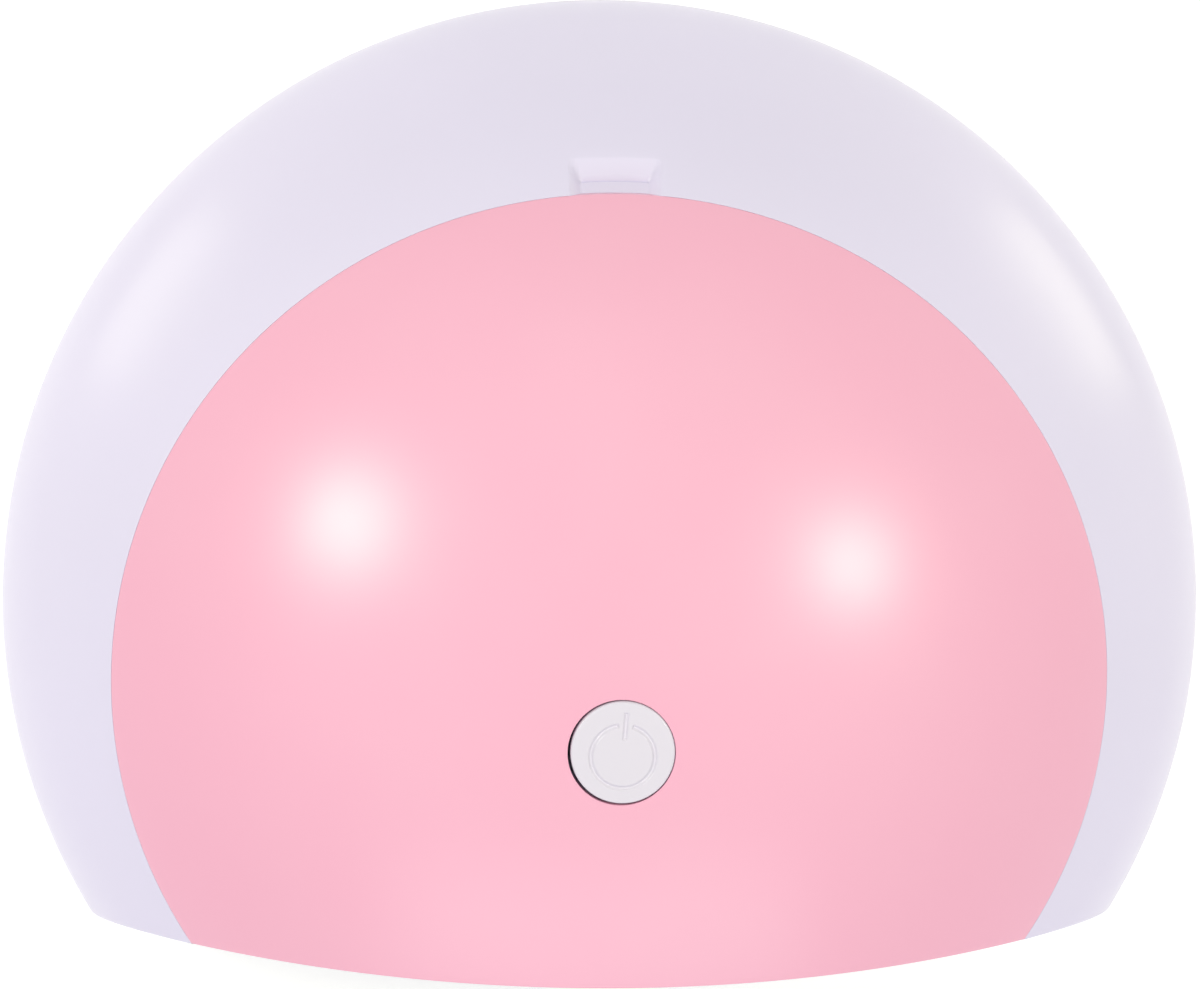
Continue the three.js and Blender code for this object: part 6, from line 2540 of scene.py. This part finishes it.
def dress_packed(finishes: Finishes) -> None:
    """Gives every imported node, which keeps its own mesh, the finish of its slot."""
    by_slot = finishes.by_slot()
    for part in frame["record"]["subparts"]:
        data = frame["nodes"][part["node"]].data
        data.materials.clear()
        data.materials.append(by_slot[Slot(part["material_slot"])])
        log.info("%s: dressed with %s", part["node"], data.materials[0].name)


@dataclass
class Studio:
    """The camera at the photograph's angle, the pale floor and the soft lights."""

    distance: float = 0.6
    sideways: float = math.radians(3.1)
    aim: tuple[float, float, float] = (0.0, -0.00153, 0.025)
    slide: float = 0.000858
    rise: float = 0.000153
    lens: float = 140.76
    floor_half_width: float = 1.2
    floor_level_share: float = 0.7
    floor_curl: float = 0.12
    floor_drop: float = 0.00002
    aim_height: float = 0.03

    def camera(self) -> None:
        """Sets the camera almost straight above, a little to the left, its top edge to the back."""
        back = np.array([-math.sin(self.sideways), 0.0, math.cos(self.sideways)])
        right = np.array([math.cos(self.sideways), 0.0, math.sin(self.sideways)])
        up = np.array([0.0, 1.0, 0.0])
        place = np.array(self.aim) - right * self.slide - up * self.rise + back * self.distance
        data = bpy.data.cameras.new("photo_camera")
        data.sensor_width = 36.0
        data.lens = self.lens
        data.clip_start = 0.01
        data.clip_end = 20.0
        camera = bpy.data.objects.new("photo_camera", data)
        self.put(camera, right, up, back, place)
        bpy.context.scene.collection.objects.link(camera)
        bpy.context.scene.camera = camera

    def put(self, thing: bpy.types.Object, right: Array, up: Array, back: Array, place: Array) -> None:
        """Turns a light or camera to three axes and moves it to its place."""
        thing.matrix_world = Matrix(np.stack([right, up, back, place], axis=1).tolist()).to_4x4()

    def floor(self, finishes: Finishes) -> None:
        """Lays the floor: a level sheet whose far edges curl up as a half cosine."""
        side = np.linspace(-self.floor_half_width, self.floor_half_width, 33)
        x, y = np.meshgrid(side, side)
        reach = np.maximum(np.abs(x), np.abs(y)) / self.floor_half_width
        share = np.clip((reach - self.floor_level_share) / (1.0 - self.floor_level_share), 0.0, 1.0)
        z = self.floor_curl * (1.0 - np.cos(share * HALF_TURN)) / 2.0
        mesh = Mesh()
        mesh.add_grid(mesh.add_points(stack(x, y, z - self.floor_drop)))
        points, quads = mesh.arrays()
        data = bpy.data.meshes.new("studio_floor")
        data.from_pydata(points.tolist(), [], quads.tolist())
        data.shade_smooth()
        data.materials.append(finishes.floor)
        floor = bpy.data.objects.new("studio_floor", data)
        bpy.context.scene.collection.objects.link(floor)

    def softbox(self, name: str, azimuth: float, elevation: float, size: tuple[float, float], power: float,
                tint: Colour = (1.0, 1.0, 1.0), reach: float = 0.85) -> None:
        """Hangs a rectangular soft light that faces the lamp.

        Args:
            name: the light's name.
            azimuth: degrees from +X towards +Y.
            elevation: degrees above the floor.
            size: width and height.
            power: in watts.
            tint: its colour.
            reach: its distance.
        """
        turn, rise = math.radians(azimuth), math.radians(elevation)
        way = np.array([math.cos(turn) * math.cos(rise), math.sin(turn) * math.cos(rise), math.sin(rise)])
        side = unit(np.cross([0.0, 0.0, 1.0], way))
        data = bpy.data.lights.new(name, "AREA")
        data.shape = "RECTANGLE"
        data.size, data.size_y = size
        data.energy = power
        data.color = tint
        light = bpy.data.objects.new(name, data)
        self.put(light, side, np.cross(way, side), way, np.array([0.0, 0.0, self.aim_height]) + way * reach)
        light.visible_camera = False
        bpy.context.scene.collection.objects.link(light)

    def light(self) -> None:
        """Hangs the softboxes, the low strips and the panels, cooler at the left, and the even surround."""
        cool, warm = (1.0, 1.0, 0.78), (1.0, 1.0, 0.8)
        self.softbox("left_softbox", 165.0, 49.1, (0.165, 0.165), 2.6, cool)
        self.softbox("right_softbox", 5.6, 50.6, (0.135, 0.135), 2.1, warm)
        self.softbox("left_low_strip", 148.7, -0.5, (0.09, 0.018), 0.035, cool, 0.242)
        self.softbox("right_low_strip", 28.6, -5.0, (0.09, 0.014), 0.038, (1.0, 1.0, 0.7), 0.2425)
        self.softbox("front_fill", 270.0, 35.0, (0.9, 0.4), 1.9)
        self.softbox("left_overhead_panel", 158.0, 64.0, (1.6, 0.8), 2.42, (0.88, 0.88, 1.0), 0.94)
        self.softbox("right_overhead_panel", 22.0, 64.0, (1.6, 0.8), 2.13, (1.0, 1.0, 0.83), 0.94)
        world = bpy.data.worlds.new("even_surround")
        world.use_nodes = True
        surround = world.node_tree.nodes["Background"]
        surround.inputs["Color"].default_value = (1.0, 1.0, 1.0, 1.0)
        surround.inputs["Strength"].default_value = 0.35
        bpy.context.scene.world = world
        bpy.context.scene.view_settings.view_transform = "Standard"

    def build(self, finishes: Finishes) -> None:
        """Sets up the camera, the floor and the lights."""
        self.camera()
        self.floor(finishes)
        self.light()


def main() -> None:
    """Builds the lamp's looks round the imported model, sub-assembly by sub-assembly."""
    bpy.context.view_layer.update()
    form = DomeForm()
    opening = HandOpening(form)
    finishes = Finishes()
    Studio().build(finishes)
    dress_packed(finishes)
    Housing(form, opening).build(finishes)
    Faceplate(form).build(finishes)
    Button(form).build(finishes)
    Tray(form, opening).build(finishes)
    BaseFrame(form, opening).build(finishes)
    Liner(form, opening).build(finishes)
    Lamps().build(finishes)
    Fixings().build(form, finishes)
    PowerInlet().build(finishes)
    Electronics().build(finishes)


if __name__ == "__main__":
    main()
